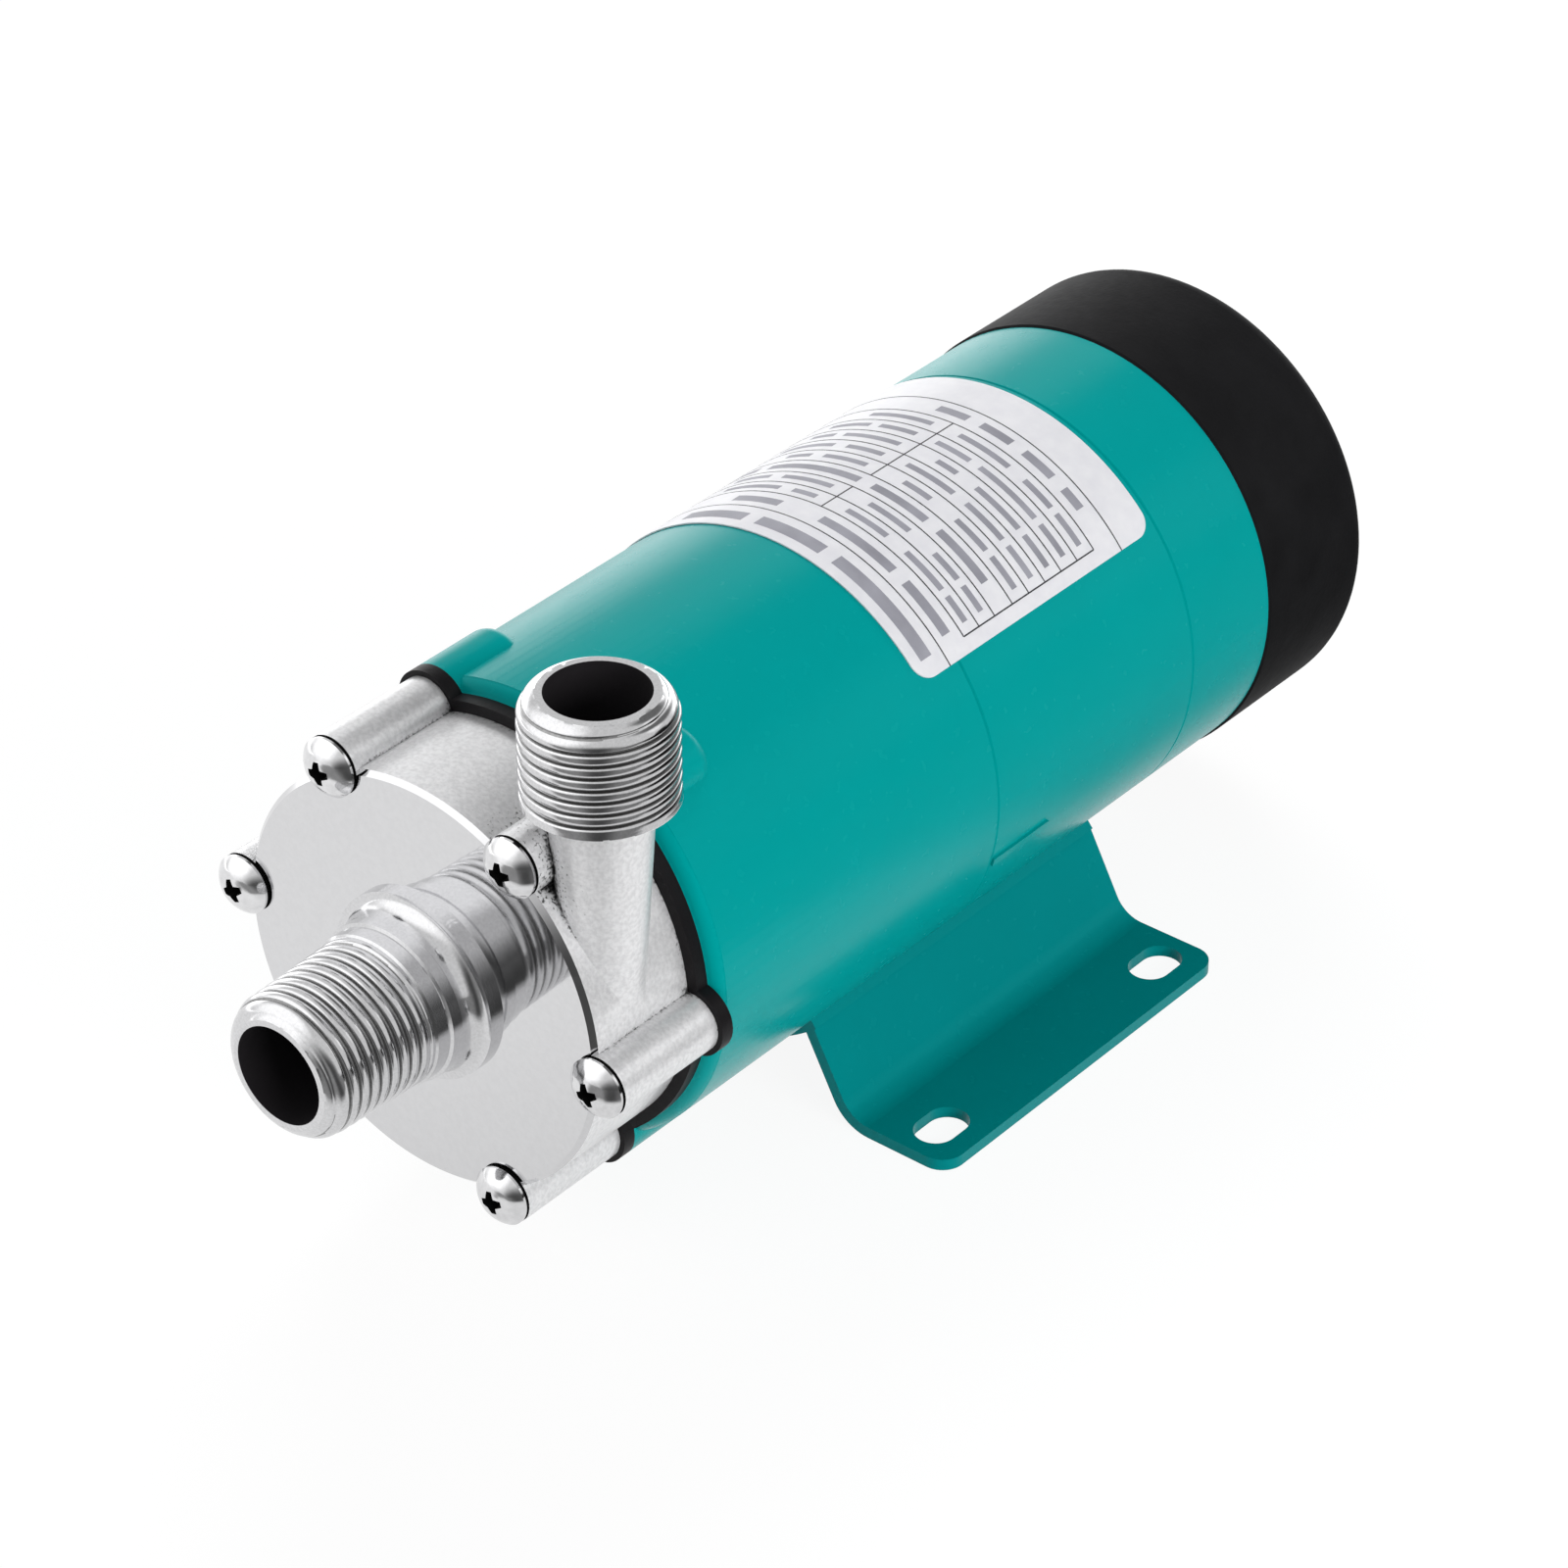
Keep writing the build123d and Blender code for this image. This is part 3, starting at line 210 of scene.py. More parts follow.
class Graph:
    """Node tree of a material or the world, with one call for each kind of step.

    Each value is a number, a tuple or the output of another step."""

    def __init__(self, owner):
        owner.use_nodes = True
        self.nodes = owner.node_tree.nodes
        self.links = owner.node_tree.links

    def wire(self, node, inputs, output=0):
        """Sets or links a node's inputs, by name or number, and gives one output."""
        for key, value in inputs.items():
            if isinstance(value, bpy.types.NodeSocket):
                self.links.new(value, node.inputs[key])
            else:
                node.inputs[key].default_value = value
        return node.outputs[output] if node.outputs else None

    def place(self, kind="Object"):
        """Coordinates of the shaded point."""
        return self.nodes.new("ShaderNodeTexCoord").outputs[kind]

    def noise(self, scale, detail=2.0, stretch=None):
        """Noise in the part's own coordinates, scale in features per metre."""
        place = self.place()
        if stretch:
            mapping = self.nodes.new("ShaderNodeMapping")
            place = self.wire(mapping, {"Vector": place, "Scale": stretch}, "Vector")
        texture = self.nodes.new("ShaderNodeTexNoise")
        return self.wire(texture, {"Vector": place, "Scale": scale, "Detail": detail}, "Fac")

    def spread(self, value, low, high, start=0.0, end=1.0, smooth=False):
        """Runs from low to high as value goes from start to end, and stays there beyond."""
        ramp = self.nodes.new("ShaderNodeMapRange")
        if smooth:
            ramp.interpolation_type = "SMOOTHSTEP"
        sizes = {"From Min": start, "From Max": end, "To Min": low, "To Max": high}
        return self.wire(ramp, {"Value": value, **sizes}, "Result")

    def fade(self, value, start, end, low=0.0, high=1.0):
        """Goes smoothly from low to high as value goes from start to end."""
        return self.spread(value, low, high, start, end, smooth=True)

    def tint(self, value, dark, light, low=0.0, high=1.0):
        """Colour that runs from dark to light as value goes from low to high."""
        ramp = self.nodes.new("ShaderNodeValToRGB")
        first, last = ramp.color_ramp.elements
        first.position, first.color = low, (*dark, 1)
        last.position, last.color = high, (*light, 1)
        return self.wire(ramp, {"Fac": value}, "Color")

    def shaded(self, first, second):
        """Two colours, multiplied."""
        mix = self.nodes.new("ShaderNodeMix")
        mix.data_type = "RGBA"
        mix.blend_type = "MULTIPLY"
        return self.wire(mix, {"Factor": 1.0, "A": first, "B": second}, "Result")

    def bump(self, height, distance, strength=1.0):
        """Normal that follows a height."""
        node = self.nodes.new("ShaderNodeBump")
        return self.wire(node, {"Height": height, "Distance": distance, "Strength": strength}, "Normal")

    def math(self, operation, *values):
        """One arithmetic step."""
        node = self.nodes.new("ShaderNodeMath")
        node.operation = operation
        return self.wire(node, dict(enumerate(values)))

    def vector(self, operation, first, second):
        """Distance between two places, or their dot product."""
        node = self.nodes.new("ShaderNodeVectorMath")
        node.operation = operation
        return self.wire(node, {0: first, 1: second}, "Value")

    def choose(self, factor, first, second):
        """Goes from the first shader to the second as the factor goes from 0 to 1."""
        return self.wire(self.nodes.new("ShaderNodeMixShader"), {"Fac": factor, 1: first, 2: second})


# Materials

def shader(name, color, metallic=0.0, roughness=0.4, **sockets):
    """Principled material, with its graph and its shader node at hand."""
    material = bpy.data.materials.new(name)
    graph = Graph(material)
    surface = graph.nodes["Principled BSDF"]
    graph.wire(surface, {"Base Color": (*color, 1), "Metallic": metallic, "Roughness": roughness})
    graph.wire(surface, {socket.replace("_", " "): value for socket, value in sockets.items()})
    return material, graph, surface


def enamel(name, color, dark):
    """Glossy paint with a faint orange peel."""
    material, graph, surface = shader(name, color, roughness=0.25, Specular_IOR_Level=0.16,
                                      Specular_Tint=(0, 1, 1, 1))
    graph.wire(surface, {
        "Base Color": graph.tint(graph.noise(60, 3), dark, color, 0.3, 0.7),
        "Roughness": graph.spread(graph.noise(500), 0.22, 0.3),
        "Normal": graph.bump(graph.noise(900, 3), 0.01 * MM, 0.6)})
    return material


def moulding(name, color, roughness, grain=1500, depth=0.03, specular=0.5):
    """Moulded plastic or rubber with a fine grain."""
    material, graph, surface = shader(name, color, roughness=roughness, Specular_IOR_Level=specular)
    dark = tuple(c * 0.75 for c in color)
    graph.wire(surface, {
        "Base Color": graph.tint(graph.noise(150, 4), dark, color, 0.3, 0.7),
        "Roughness": graph.spread(graph.noise(700), roughness - 0.05, roughness + 0.06),
        "Normal": graph.bump(graph.noise(grain, 2), depth * MM)})
    return material


def metal(name, color, roughness, scale=900, depth=0.01, stretch=None, dark=0.8):
    """Bare metal whose tone, gloss and surface follow one noise."""
    material, graph, surface = shader(name, color, metallic=1.0, roughness=roughness)
    grain = graph.noise(scale, 3, stretch)
    graph.wire(surface, {
        "Base Color": graph.tint(grain, tuple(c * dark for c in color), color, 0.35, 0.65),
        "Roughness": graph.spread(grain, roughness * 1.25, roughness * 0.8),
        "Normal": graph.bump(grain, depth * MM)})
    return material


def blasted_casting(name):
    """Blasted cast skin with a dark crust in one corner and painted shade in every inner corner."""
    material, graph, surface = shader(name, (0.8, 0.8, 0.8), metallic=0.35)
    skin = graph.noise(1700, 4)
    crust = graph.noise(2200, 6)
    # the crust sits between the pipe and the casing
    corner = (OUTLET_X - 7 * MM, OUTLET_Y - 3 * MM, AXIS_Z + 24 * MM)
    away = graph.vector("DISTANCE", graph.place(), corner)
    reach = graph.spread(away, 0.12, -0.2, 2 * MM, 12 * MM)
    worn = graph.tint(graph.math("SUBTRACT", crust, reach), (0.12, 0.12, 0.12), (1, 1, 1), 0.36, 0.46)
    # painted shade in the inner corners, from ambient occlusion, broken up by the crust's noise
    openness = graph.wire(graph.nodes.new("ShaderNodeAmbientOcclusion"), {"Distance": 2.2 * MM}, "AO")
    corner_shade = graph.math("MULTIPLY_ADD", crust, 0.9, openness)
    corner_shade_tint = graph.tint(corner_shade, (0.1, 0.1, 0.1), (1, 1, 1), 0.8, 1.0)
    even = graph.tint(skin, (0.7, 0.7, 0.71), (0.84, 0.84, 0.85), 0.35, 0.65)
    graph.wire(surface, {
        "Base Color": graph.shaded(even, graph.shaded(worn, corner_shade_tint)),
        "Roughness": graph.spread(skin, 0.36, 0.26),
        "Normal": graph.bump(skin, 0.04 * MM)})
    return material


def printed_film(name):
    """Smooth label film, a little uneven in tone and gloss."""
    material, graph, surface = shader(name, (0.80, 0.80, 0.83), roughness=0.32)
    graph.wire(surface, {
        "Base Color": graph.tint(graph.noise(400, 3), (0.77, 0.77, 0.81), (0.83, 0.83, 0.86), 0.3, 0.7),
        "Roughness": graph.spread(graph.noise(900), 0.26, 0.4)})
    return material


green_paint = enamel("green_enamel", (0.0, 0.33, 0.325), (0.0, 0.322, 0.317))
# painted shade: the foot's enamel is the green made darker, for the shade under the motor
foot_shaded_paint = enamel("foot_enamel_shaded", (0.0, 0.25, 0.258), (0.0, 0.243, 0.25))
black_plastic = moulding("black_moulding", (0.009, 0.008, 0.009), 0.42, specular=0.12)
cover_plastic = moulding("cover_moulding", (0.0115, 0.0115, 0.0125), 0.55, specular=0.042)
rubber = moulding("black_rubber", (0.02, 0.02, 0.02), 0.6)
machined_steel = metal("machined_steel", (0.68, 0.68, 0.69), 0.05, 1200, 0.0003, dark=0.97)
turned_steel = metal("turned_steel", (0.68, 0.68, 0.69), 0.13, 2600, 0.003, dark=0.9)
# painted shade: the thread roots are the same steel, made darker as well as rougher
thread_root_shade = metal("thread_root_shade", (0.33, 0.33, 0.33), 0.32, 2600, 0.01)
polished_steel = metal("polished_steel", (0.76, 0.76, 0.77), 0.11, 900, 0.006, dark=0.9)
# painted shade: a near-black moulding for the bores and the head's inner faces
bore_shade = moulding("bore_painted_shade", (0.02, 0.018, 0.02), 0.8, specular=0.1)
# painted shade: a near-black moulding for screw recesses and the undercut under each head's rim
recess_shade = moulding("recess_painted_shade", (0.003, 0.003, 0.003), 0.8, specular=0.1)
cast_steel = blasted_casting("cast_steel")
zinc_steel = metal("zinc_steel", (0.72, 0.73, 0.74), 0.25)
yoke_steel = metal("yoke_steel", (0.5, 0.5, 0.51), 0.3)
shaft_steel = metal("shaft_steel", (0.7, 0.7, 0.71), 0.15)
lamination = metal("lamination", (0.4, 0.4, 0.42), 0.4, 400, 0.02, stretch=(0.2, 12, 0.2))
rotor_alloy = metal("rotor_alloy", (0.7, 0.7, 0.71), 0.35)
bearing_steel = metal("bearing_steel", (0.75, 0.75, 0.76), 0.12)
copper_wire = metal("copper_wire", (0.6, 0.2, 0.06), 0.3, 300, 0.1, stretch=(4, 0.3, 4))
ceramic = moulding("ceramic", (0.78, 0.75, 0.68), 0.25, 2000, 0.004)
ferrite = moulding("ferrite", (0.04, 0.04, 0.045), 0.35, 1200, 0.01)
impeller_plastic = moulding("impeller_moulding", (0.03, 0.03, 0.033), 0.4)
carbon = moulding("bush_carbon", (0.02, 0.02, 0.022), 0.35)
fan_plastic = moulding("fan_moulding", (0.03, 0.03, 0.032), 0.5)
label_film = printed_film("label_film")
ink = moulding("label_ink", (0.03, 0.03, 0.035), 0.5)
grey_ink = moulding("label_grey_ink", (0.36, 0.36, 0.41), 0.5)

FINISH = {
    green_paint: ["front_housing", "motor_shell", "rear_end_bell"],
    foot_shaded_paint: ["foot_bracket"],
    black_plastic: ["rear_casing"],
    cover_plastic: ["fan_cover"],
    rubber: ["casing_o_ring", "cable_grommet"],
    ceramic: ["spindle", "front_thrust_ring", "rear_thrust_ring"],
    impeller_plastic: ["impeller"],
    carbon: ["impeller_bush"],
    ferrite: ["driven_magnet"] + [f"drive_magnet_{n}" for n in range(1, 7)],
    yoke_steel: ["drive_yoke", "yoke_set_screw"],
    shaft_steel: ["motor_shaft"],
    lamination: ["rotor_core", "stator_core"],
    rotor_alloy: ["front_rotor_end_ring", "rear_rotor_end_ring"],
    copper_wire: ["stator_windings"],
    fan_plastic: ["cooling_fan"],
    bearing_steel: [f"{end}_bearing_{piece}" for end in ("front", "rear")
                    for piece in ("outer_ring", "inner_ring", "balls")],
    zinc_steel: [f"tie_bolt_{n}" for n in range(1, 5)],
    label_film: ["rating_label"],
}
for material, names in FINISH.items():
    for name in names:
        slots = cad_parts[name].data.materials
        slots.clear()
        slots.append(material)


# Threads

# rounded nose of both spigots, as the centre and radius of its arc behind the mouth
NOSE_CENTRE_R, NOSE_CENTRE_Z, NOSE_ARC = 6.546 * MM, 3.687 * MM, 3.994 * MM
# one side of a groove, in millimetres: distance from its middle, and depth there
GROOVE = [(0, 0.62), (0.09, 0.60), (0.18, 0.44), (0.27, 0.25),
          (0.36, 0.14), (0.50, 0.07), (0.68, 0.03), (0.907, 0.0)]
GROOVE_PLACES = [place * MM for place, _ in GROOVE]
GROOVE_DEPTHS = [depth * MM for _, depth in GROOVE]
THREAD_COLUMNS = 160
# what a cutter takes off the crests too, so that its surface never lies in the spigot's
SKIN = 0.015 * MM


def nose_radius(z):
    """Radius of a spigot's rounded nose at a depth behind the mouth."""
    return NOSE_CENTRE_R + math.sqrt(NOSE_ARC ** 2 - (max(z, 0) - NOSE_CENTRE_Z) ** 2)


def spigot_radius(z, length, taper):
    """Radius over the crests at a depth behind the mouth."""
    if z < THREAD_NOSE:
        return nose_radius(z)
    return THREAD_R + taper * (z - THREAD_NOSE) / (length - THREAD_NOSE)


def thread_radius(z, turn, length, taper):
    """Radius of the finished thread at a depth and a part of a full turn.

    The grooves grow over the nose and run out before the thread's end."""
    from_groove = abs((z - THREAD_PITCH * turn) % THREAD_PITCH - THREAD_PITCH / 2)
    stations = [0.7 * MM, 2.6 * MM, length - 1.5 * MM, length - 0.5 * MM]
    growth = float(np.interp(z, stations, [0.35, 1, 1, 0]))
    groove = float(np.interp(from_groove, GROOVE_PLACES, GROOVE_DEPTHS)) * growth
    return spigot_radius(z, length, taper) - groove - SKIN


def thread_cutter(length, taper=0.0, overrun=0.0):
    """Sleeve whose inside is a right-hand thread about Z, from the mouth at z = 0.

    Its rows follow the helix, so crests and roots are clean lines."""
    outside = THREAD_R + 2.2 * MM
    half = THREAD_PITCH / 2
    steps = sorted({half - p for p in GROOVE_PLACES} | {half + p for p in GROOVE_PLACES if p < half})
    low, high = -1.0 * MM, length + overrun
    first = math.floor(low / THREAD_PITCH) - 2
    last = math.ceil(high / THREAD_PITCH) + 1
    rows = [n * THREAD_PITCH + step for n in range(first, last) for step in steps]
    turns = [j / THREAD_COLUMNS for j in range(THREAD_COLUMNS + 1)]
    verts, faces = [], []

    def add_point(r, turn, z):
        verts.append((r * math.cos(2 * math.pi * turn), r * math.sin(2 * math.pi * turn), z))

    for row in rows:
        for turn in turns:
            z = min(max(row + THREAD_PITCH * turn, low), high)
            add_point(thread_radius(z, turn, length, taper), turn, z)
    for i in range(len(rows) - 1):
        for j in range(THREAD_COLUMNS):
            a = i * len(turns) + j
            b = a + len(turns)
            corners = [a, a + 1, b + 1, b]
            if len({verts[c][2] for c in corners}) > 1:
                faces.append(corners)
    ends = []
    for z in (low, high):
        ends.append(len(verts))
        for turn in turns:
            add_point(thread_radius(z, turn, length, taper), turn, z)
            add_point(outside, turn, z)
        for j in range(THREAD_COLUMNS):
            a = ends[-1] + 2 * j
            faces.append([a, a + 1, a + 3, a + 2])
    for j in range(THREAD_COLUMNS):
        a, b = ends[0] + 2 * j + 1, ends[1] + 2 * j + 1
        faces.append([a, a + 2, b + 2, b])
    cutter = new_object("thread_cutter", verts, faces)
    clean(cutter, 2e-6)
    return cutter


# Pump head, with fuller spigots, pad and bosses than the solid has

# The added skins stay this far off the bores and reach this far into the solid
BORE_WALL = 0.4 * MM
OVERLAP = 0.3 * MM
OUTLET_NOSE_BACK = 3.4 * MM
BOSS_CORE_R = 3.0 * MM


def nose_outline(inner, back):
    """Outline of a spigot's rounded nose, which stands a little out of the solid's chamfer."""
    nose = [(nose_radius(z * MM), z * MM) for z in (0.3, 0.6, 0.9, 1.2, 1.6, 2.0, 2.5)]
    return [(inner, back), (inner, nose[0][1])] + nose + [(THREAD_R, THREAD_NOSE)]


def neck_outline():
    """Outline behind the inlet's thread: collar, neck ring, flare and pad."""
    thread_end_r = THREAD_R + INLET_TAPER
    ring_front, ring_back = FACE_DEPTH - 6.2 * MM, FACE_DEPTH - 4.3 * MM
    flare_front, flare_back = FACE_DEPTH - 4.1 * MM, FACE_DEPTH - PAD_RISE
    flare_r, flare_out = NECK_RING_R - 0.2 * MM, 2.0 * MM
    outline = [(thread_end_r, INLET_THREAD), (COLLAR_R, INLET_THREAD + COLLAR_R - thread_end_r),
               (COLLAR_R, ring_front), (NECK_RING_R, ring_front + 0.2 * MM), (NECK_RING_R, ring_back)]
    for turn in quarter_turn(8):
        outline.append((flare_r + flare_out * (1 - math.cos(turn)),
                        flare_front + (flare_back - flare_front) * math.sin(turn)))
    return outline + [(PAD_R, flare_back), (PAD_R, FACE_DEPTH + OVERLAP)]


head = cad_copy("pump_head", "pump_head_dressed")
# the solid's pad is wider, so its rim goes first
trim_outside, trim_front = PAD_R + 1.5 * MM, FACE_DEPTH - 1.0 * MM
pad_trim = [(PAD_R, trim_front), (trim_outside, trim_front), (trim_outside, FACE_DEPTH), (PAD_R, FACE_DEPTH)]
cut(head, turned("pad_trim", pad_trim), IN_INLET)
inlet_skin = nose_outline(INLET_BORE_R + BORE_WALL, FACE_DEPTH + OVERLAP) + neck_outline()
join(head, turned("inlet_skin", inlet_skin), IN_INLET)
outlet_skin = nose_outline(OUTLET_BORE_R + BORE_WALL, OUTLET_NOSE_BACK)
outlet_skin.append((THREAD_R - 0.1 * MM, OUTLET_NOSE_BACK))
join(head, turned("outlet_skin", outlet_skin), IN_OUTLET)
boss_skin = [(BOSS_CORE_R, 0), (BOSS_R, 0), (BOSS_R, HEAD_DEPTH), (BOSS_CORE_R, HEAD_DEPTH)]
for angle in SCREW_ANGLES:
    join(head, turned("boss_skin", boss_skin, 96), at_screw(angle))
cut(head, thread_cutter(INLET_THREAD, INLET_TAPER), IN_INLET)
cut(head, thread_cutter(OUTLET_THREAD, overrun=1.0 * MM), IN_OUTLET)
for material in (cast_steel, machined_steel, turned_steel, bore_shade, thread_root_shade):
    head.data.materials.append(material)
CAST, MACHINED, TURNED, BORE_SHADE, ROOT_SHADE = range(5)

# how far the polish goes behind the face, the pipe's reach from the outlet's axis, and
# the depth below the crests from which a thread counts as its root
POLISHED_DEPTH = 0.75 * MM
PIPE_REACH = 8 * MM
ROOT_DEPTH = 0.3 * MM


def spigot_finish(depth, radius, length, taper):
    """Turned metal, duller and darker in the roots of the thread, the darker colour being painted shade."""
    in_groove = 0.3 * MM < depth < length and spigot_radius(depth, length, taper) - radius > ROOT_DEPTH
    return ROOT_SHADE if in_groove else TURNED


def head_finish(centre, normal):
    """Which finish a face of the head has, by where it lies and where it looks. The bores and the inner
    faces take painted shade.
    """
    across = Vector((centre.x, 0, centre.z - AXIS_Z))
    aside = Vector((centre.x - OUTLET_X, centre.y - OUTLET_Y, 0))
    from_outlet = aside.length
    if centre.z > OUTLET_TOP - OUTLET_THREAD + NEAR:
        if from_outlet < OUTLET_BORE_R + NEAR and centre.z < OUTLET_TOP - NEAR:
            return BORE_SHADE
        return spigot_finish(OUTLET_TOP - centre.z, from_outlet, OUTLET_THREAD, 0)
    if centre.y < FACE_Y - NEAR:
        if across.length < INLET_BORE_R + NEAR and centre.y > MOUTH_Y + NEAR:
            return BORE_SHADE
        return spigot_finish(centre.y - MOUTH_Y, across.length, INLET_THREAD, INLET_TAPER)
    upright = centre.z > AXIS_Z and abs(normal.z) < 0.5
    in_throat = from_outlet < THROAT_R + 0.3 * MM and upright and normal.dot(aside) < -0.5 * from_outlet
    # painted shade: the bores, the throat and the inner faces are made near black
    if across.length < INLET_BORE_R + NEAR or in_throat:
        return BORE_SHADE
    if centre.y < FACE_Y + POLISHED_DEPTH:
        return MACHINED
    on_pipe = from_outlet < PIPE_REACH and upright and normal.dot(aside) > 0.5 * from_outlet
    inside = normal.dot(across) < -0.3 * across.length or abs(normal.y) > 0.9
    return BORE_SHADE if inside and not on_pipe else CAST


for polygon in head.data.polygons:
    polygon.material_index = head_finish(polygon.center, polygon.normal)
shade(head, 30)
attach(head, "pump")
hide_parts("pump_head")


# Front housing, whose front edge is rounded as the photograph shows

EDGE_CORE_R = MOTOR_R - 2.4 * MM
housing = cad_copy("front_housing", "front_housing_dressed")
edge = [(EDGE_CORE_R, 0)]
for turn in quarter_turn(12):
    edge.append((MOTOR_R - FRONT_ROUND * (1 - math.sin(turn)), FRONT_ROUND * (1 - math.cos(turn))))
edge += [(MOTOR_R - 1.0 * MM, FRONT_ROUND), (EDGE_CORE_R, FRONT_ROUND * 0.6)]
join(housing, turned("edge_skin", edge, 256), along_shaft(0, CASING_Y, AXIS_Z))
housing.data.materials.append(green_paint)
shade(housing, 35)
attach(housing, "pump")
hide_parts("front_housing")


# Screws with cross recesses

RECESS_DEPTH = 2.0 * MM
# how far the recess's full width lies below a head's crown
RECESS_SINK = 0.25 * MM
# height and depth of the undercut below a head's rim
RIM_HEIGHT = 0.45 * MM
RIM_DEPTH = 0.3 * MM


def cross_cutter(reach):
    """Cross about Z, open toward +Z above z = 0, narrow at its tips and toward its floor."""
    verts, faces = [], []
    for z, scale in ((1 * MM, 1.0), (0, 1.0), (-RECESS_DEPTH, 0.45)):
        waist, tip, r = 0.40 * reach * (0.7 + 0.3 * scale), 0.25 * reach * scale, reach * scale
        outline = [(tip, r), (waist, waist), (r, tip), (r, -tip), (waist, -waist), (tip, -r),
                   (-tip, -r), (-waist, -waist), (-r, -tip), (-r, tip), (-waist, waist), (-tip, r)]
        verts += [(x, y, z) for x, y in outline]
    count = 12
    faces.append(list(range(count))[::-1])
    faces.append(list(range(2 * count, 3 * count)))
    for ring in (0, count):
        for n in range(count):
            m = (n + 1) % count
            faces.append([ring + n, ring + m, ring + count + m, ring + count + n])
    cutter = new_object("cross_cutter", verts, faces)
    clean(cutter, 1e-7)
    return cutter


def rim_cutter(radius, height):
    """Ring that undercuts a head's rim, from z = 0 up to the height."""
    inner, outer, low = radius - RIM_DEPTH, radius + 0.5 * MM, -0.2 * MM
    outline = [(inner, low), (outer, low), (outer, height), (radius, height), (inner, height * 0.7)]
    return turned("rim_cutter", outline, 96)


def grow_head(screw, seat, out):
    """Brings a head screw's head from the solid's sizes to the full ones."""
    for vertex in screw.data.vertices:
        height = (vertex.co - seat).dot(out)
        sideways = vertex.co - seat - out * height
        if height > -1e-6 and sideways.length > SCREW_SHANK_R + NEAR:
            vertex.co += sideways * (FULL_HEAD_R / SCREW_HEAD_R - 1)
        if height > 0:
            vertex.co += out * height * (FULL_HEAD / SCREW_HEAD - 1)


def dressed_screw(node, material, outward, turn, head_height, reach, grow=False):
    """Copy of a CAD screw with a cross recess. One that grows has its rim undercut as well."""
    low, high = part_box(node)
    middle = (low + high) / 2
    out = Vector(outward)
    top = Vector([high[i] if out[i] > 0.5 else low[i] if out[i] < -0.5 else middle[i] for i in range(3)])
    facing = out.to_track_quat("Z", "Y").to_matrix().to_4x4()
    screw = cad_copy(node, f"{node}_dressed")
    if grow:
        seat = top - out * head_height
        grow_head(screw, seat, out)
        head_height = FULL_HEAD
        top = seat + out * head_height
    crown = Matrix.Translation(top - out * RECESS_SINK)
    cut(screw, cross_cutter(reach), crown @ facing @ Matrix.Rotation(math.radians(turn), 4, "Z"))
    if grow:
        cut(screw, rim_cutter(FULL_HEAD_R, RIM_HEIGHT), Matrix.Translation(top - out * head_height) @ facing)
    screw.data.materials.append(material)
    screw.data.materials.append(recess_shade)
    # painted shade: the recess and the undercut below the rim are made near black
    for polygon in screw.data.polygons:
        sideways = polygon.center - top
        sideways -= out * sideways.dot(out)
        depth = (top - polygon.center).dot(out)
        in_recess = sideways.length < reach + NEAR and 0.3 * MM < depth < head_height and (
            polygon.normal.dot(out) < 0.7 or depth > 1.2 * MM)
        under_rim = grow and sideways.length > FULL_HEAD_R - 0.35 * MM and depth > head_height - 0.5 * MM
        polygon.material_index = 1 if in_recess or under_rim else 0
    shade(screw, 35)
    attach(screw, "pump")
    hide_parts(node)


# turn of each cross about its screw, in the order of the nodes
HEAD_SCREW_TURNS = (10, 10, 25, 5, 15, 20)
for n, turn in enumerate(HEAD_SCREW_TURNS, 1):
    dressed_screw(f"head_screw_{n}", polished_steel, (0, -1, 0), turn,
                  SCREW_HEAD, 1.75 * MM, grow=True)
for n in range(1, 4):
    dressed_screw(f"fan_cover_screw_{n}", zinc_steel, (0, 1, 0), 30 * n, 1.8 * MM, 1.6 * MM)
for n in range(1, 3):
    dressed_screw(f"foot_screw_{n}", zinc_steel, (0, 0, -1), 40 * n, 2.2 * MM, 2.0 * MM)


# Ruled lines and plain bars on the label, without words

def printed_bars(name, bars, material):
    """Thin raised bars on the label, each from y1 to y2 and from angle a1 to a2."""
    verts, faces = [], []
    inner, outer = LABEL_R - 0.02 * MM, LABEL_R + 0.015 * MM
    for y1, y2, a1, a2 in bars:
        steps = max(1, math.ceil((a2 - a1) / 2.5))
        base = len(verts)
        for n in range(steps + 1):
            turn = math.radians(a1 + (a2 - a1) * n / steps)
            for r in (inner, outer):
                for y in (y1, y2):
                    verts.append((r * math.cos(turn), y, AXIS_Z + r * math.sin(turn)))
        for n in range(steps):
            a, b = base + 4 * n, base + 4 * (n + 1)
            for i, j in ((0, 1), (1, 3), (3, 2), (2, 0)):
                faces.append([a + i, a + j, b + j, b + i])
        faces.append([base, base + 2, base + 3, base + 1])
        end = base + 4 * steps
        faces.append([end, end + 1, end + 3, end + 2])
    obj = new_object(name, verts, faces, material)
    clean(obj, 1e-7)
    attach(obj, "pump")


LINE = 0.22 * MM
LINE_TURN = math.degrees(LINE / LABEL_R)
LABEL_START, LABEL_END = 38.5, 160.0
TABLE_START, TABLE_MIDDLE, TABLE_END = 42.3, 89.3, 154.0
borders = [LABEL_FRONT + d * MM for d in (6.2, 45.2)]
rows = [LABEL_FRONT + d * MM for d in (11.0, 14.4, 17.9, 21.9, 25.6, 29.3, 33.0, 36.7, 40.5)]
rules = [(y - LINE / 2, y + LINE / 2, LABEL_START, LABEL_END) for y in borders]
rules += [(y - LINE / 2, y + LINE / 2, TABLE_START, TABLE_END) for y in rows]
# the table's upright lines: both edges, and the middle one, which skips a row
uprights = ((TABLE_START, 0, 8), (TABLE_END, 0, 8), (TABLE_MIDDLE, 0, 2), (TABLE_MIDDLE, 3, 8))
for angle, first, last in uprights:
    rules.append((rows[first], rows[last], angle - LINE_TURN / 2, angle + LINE_TURN / 2))
printed_bars("label_rules", rules, ink)

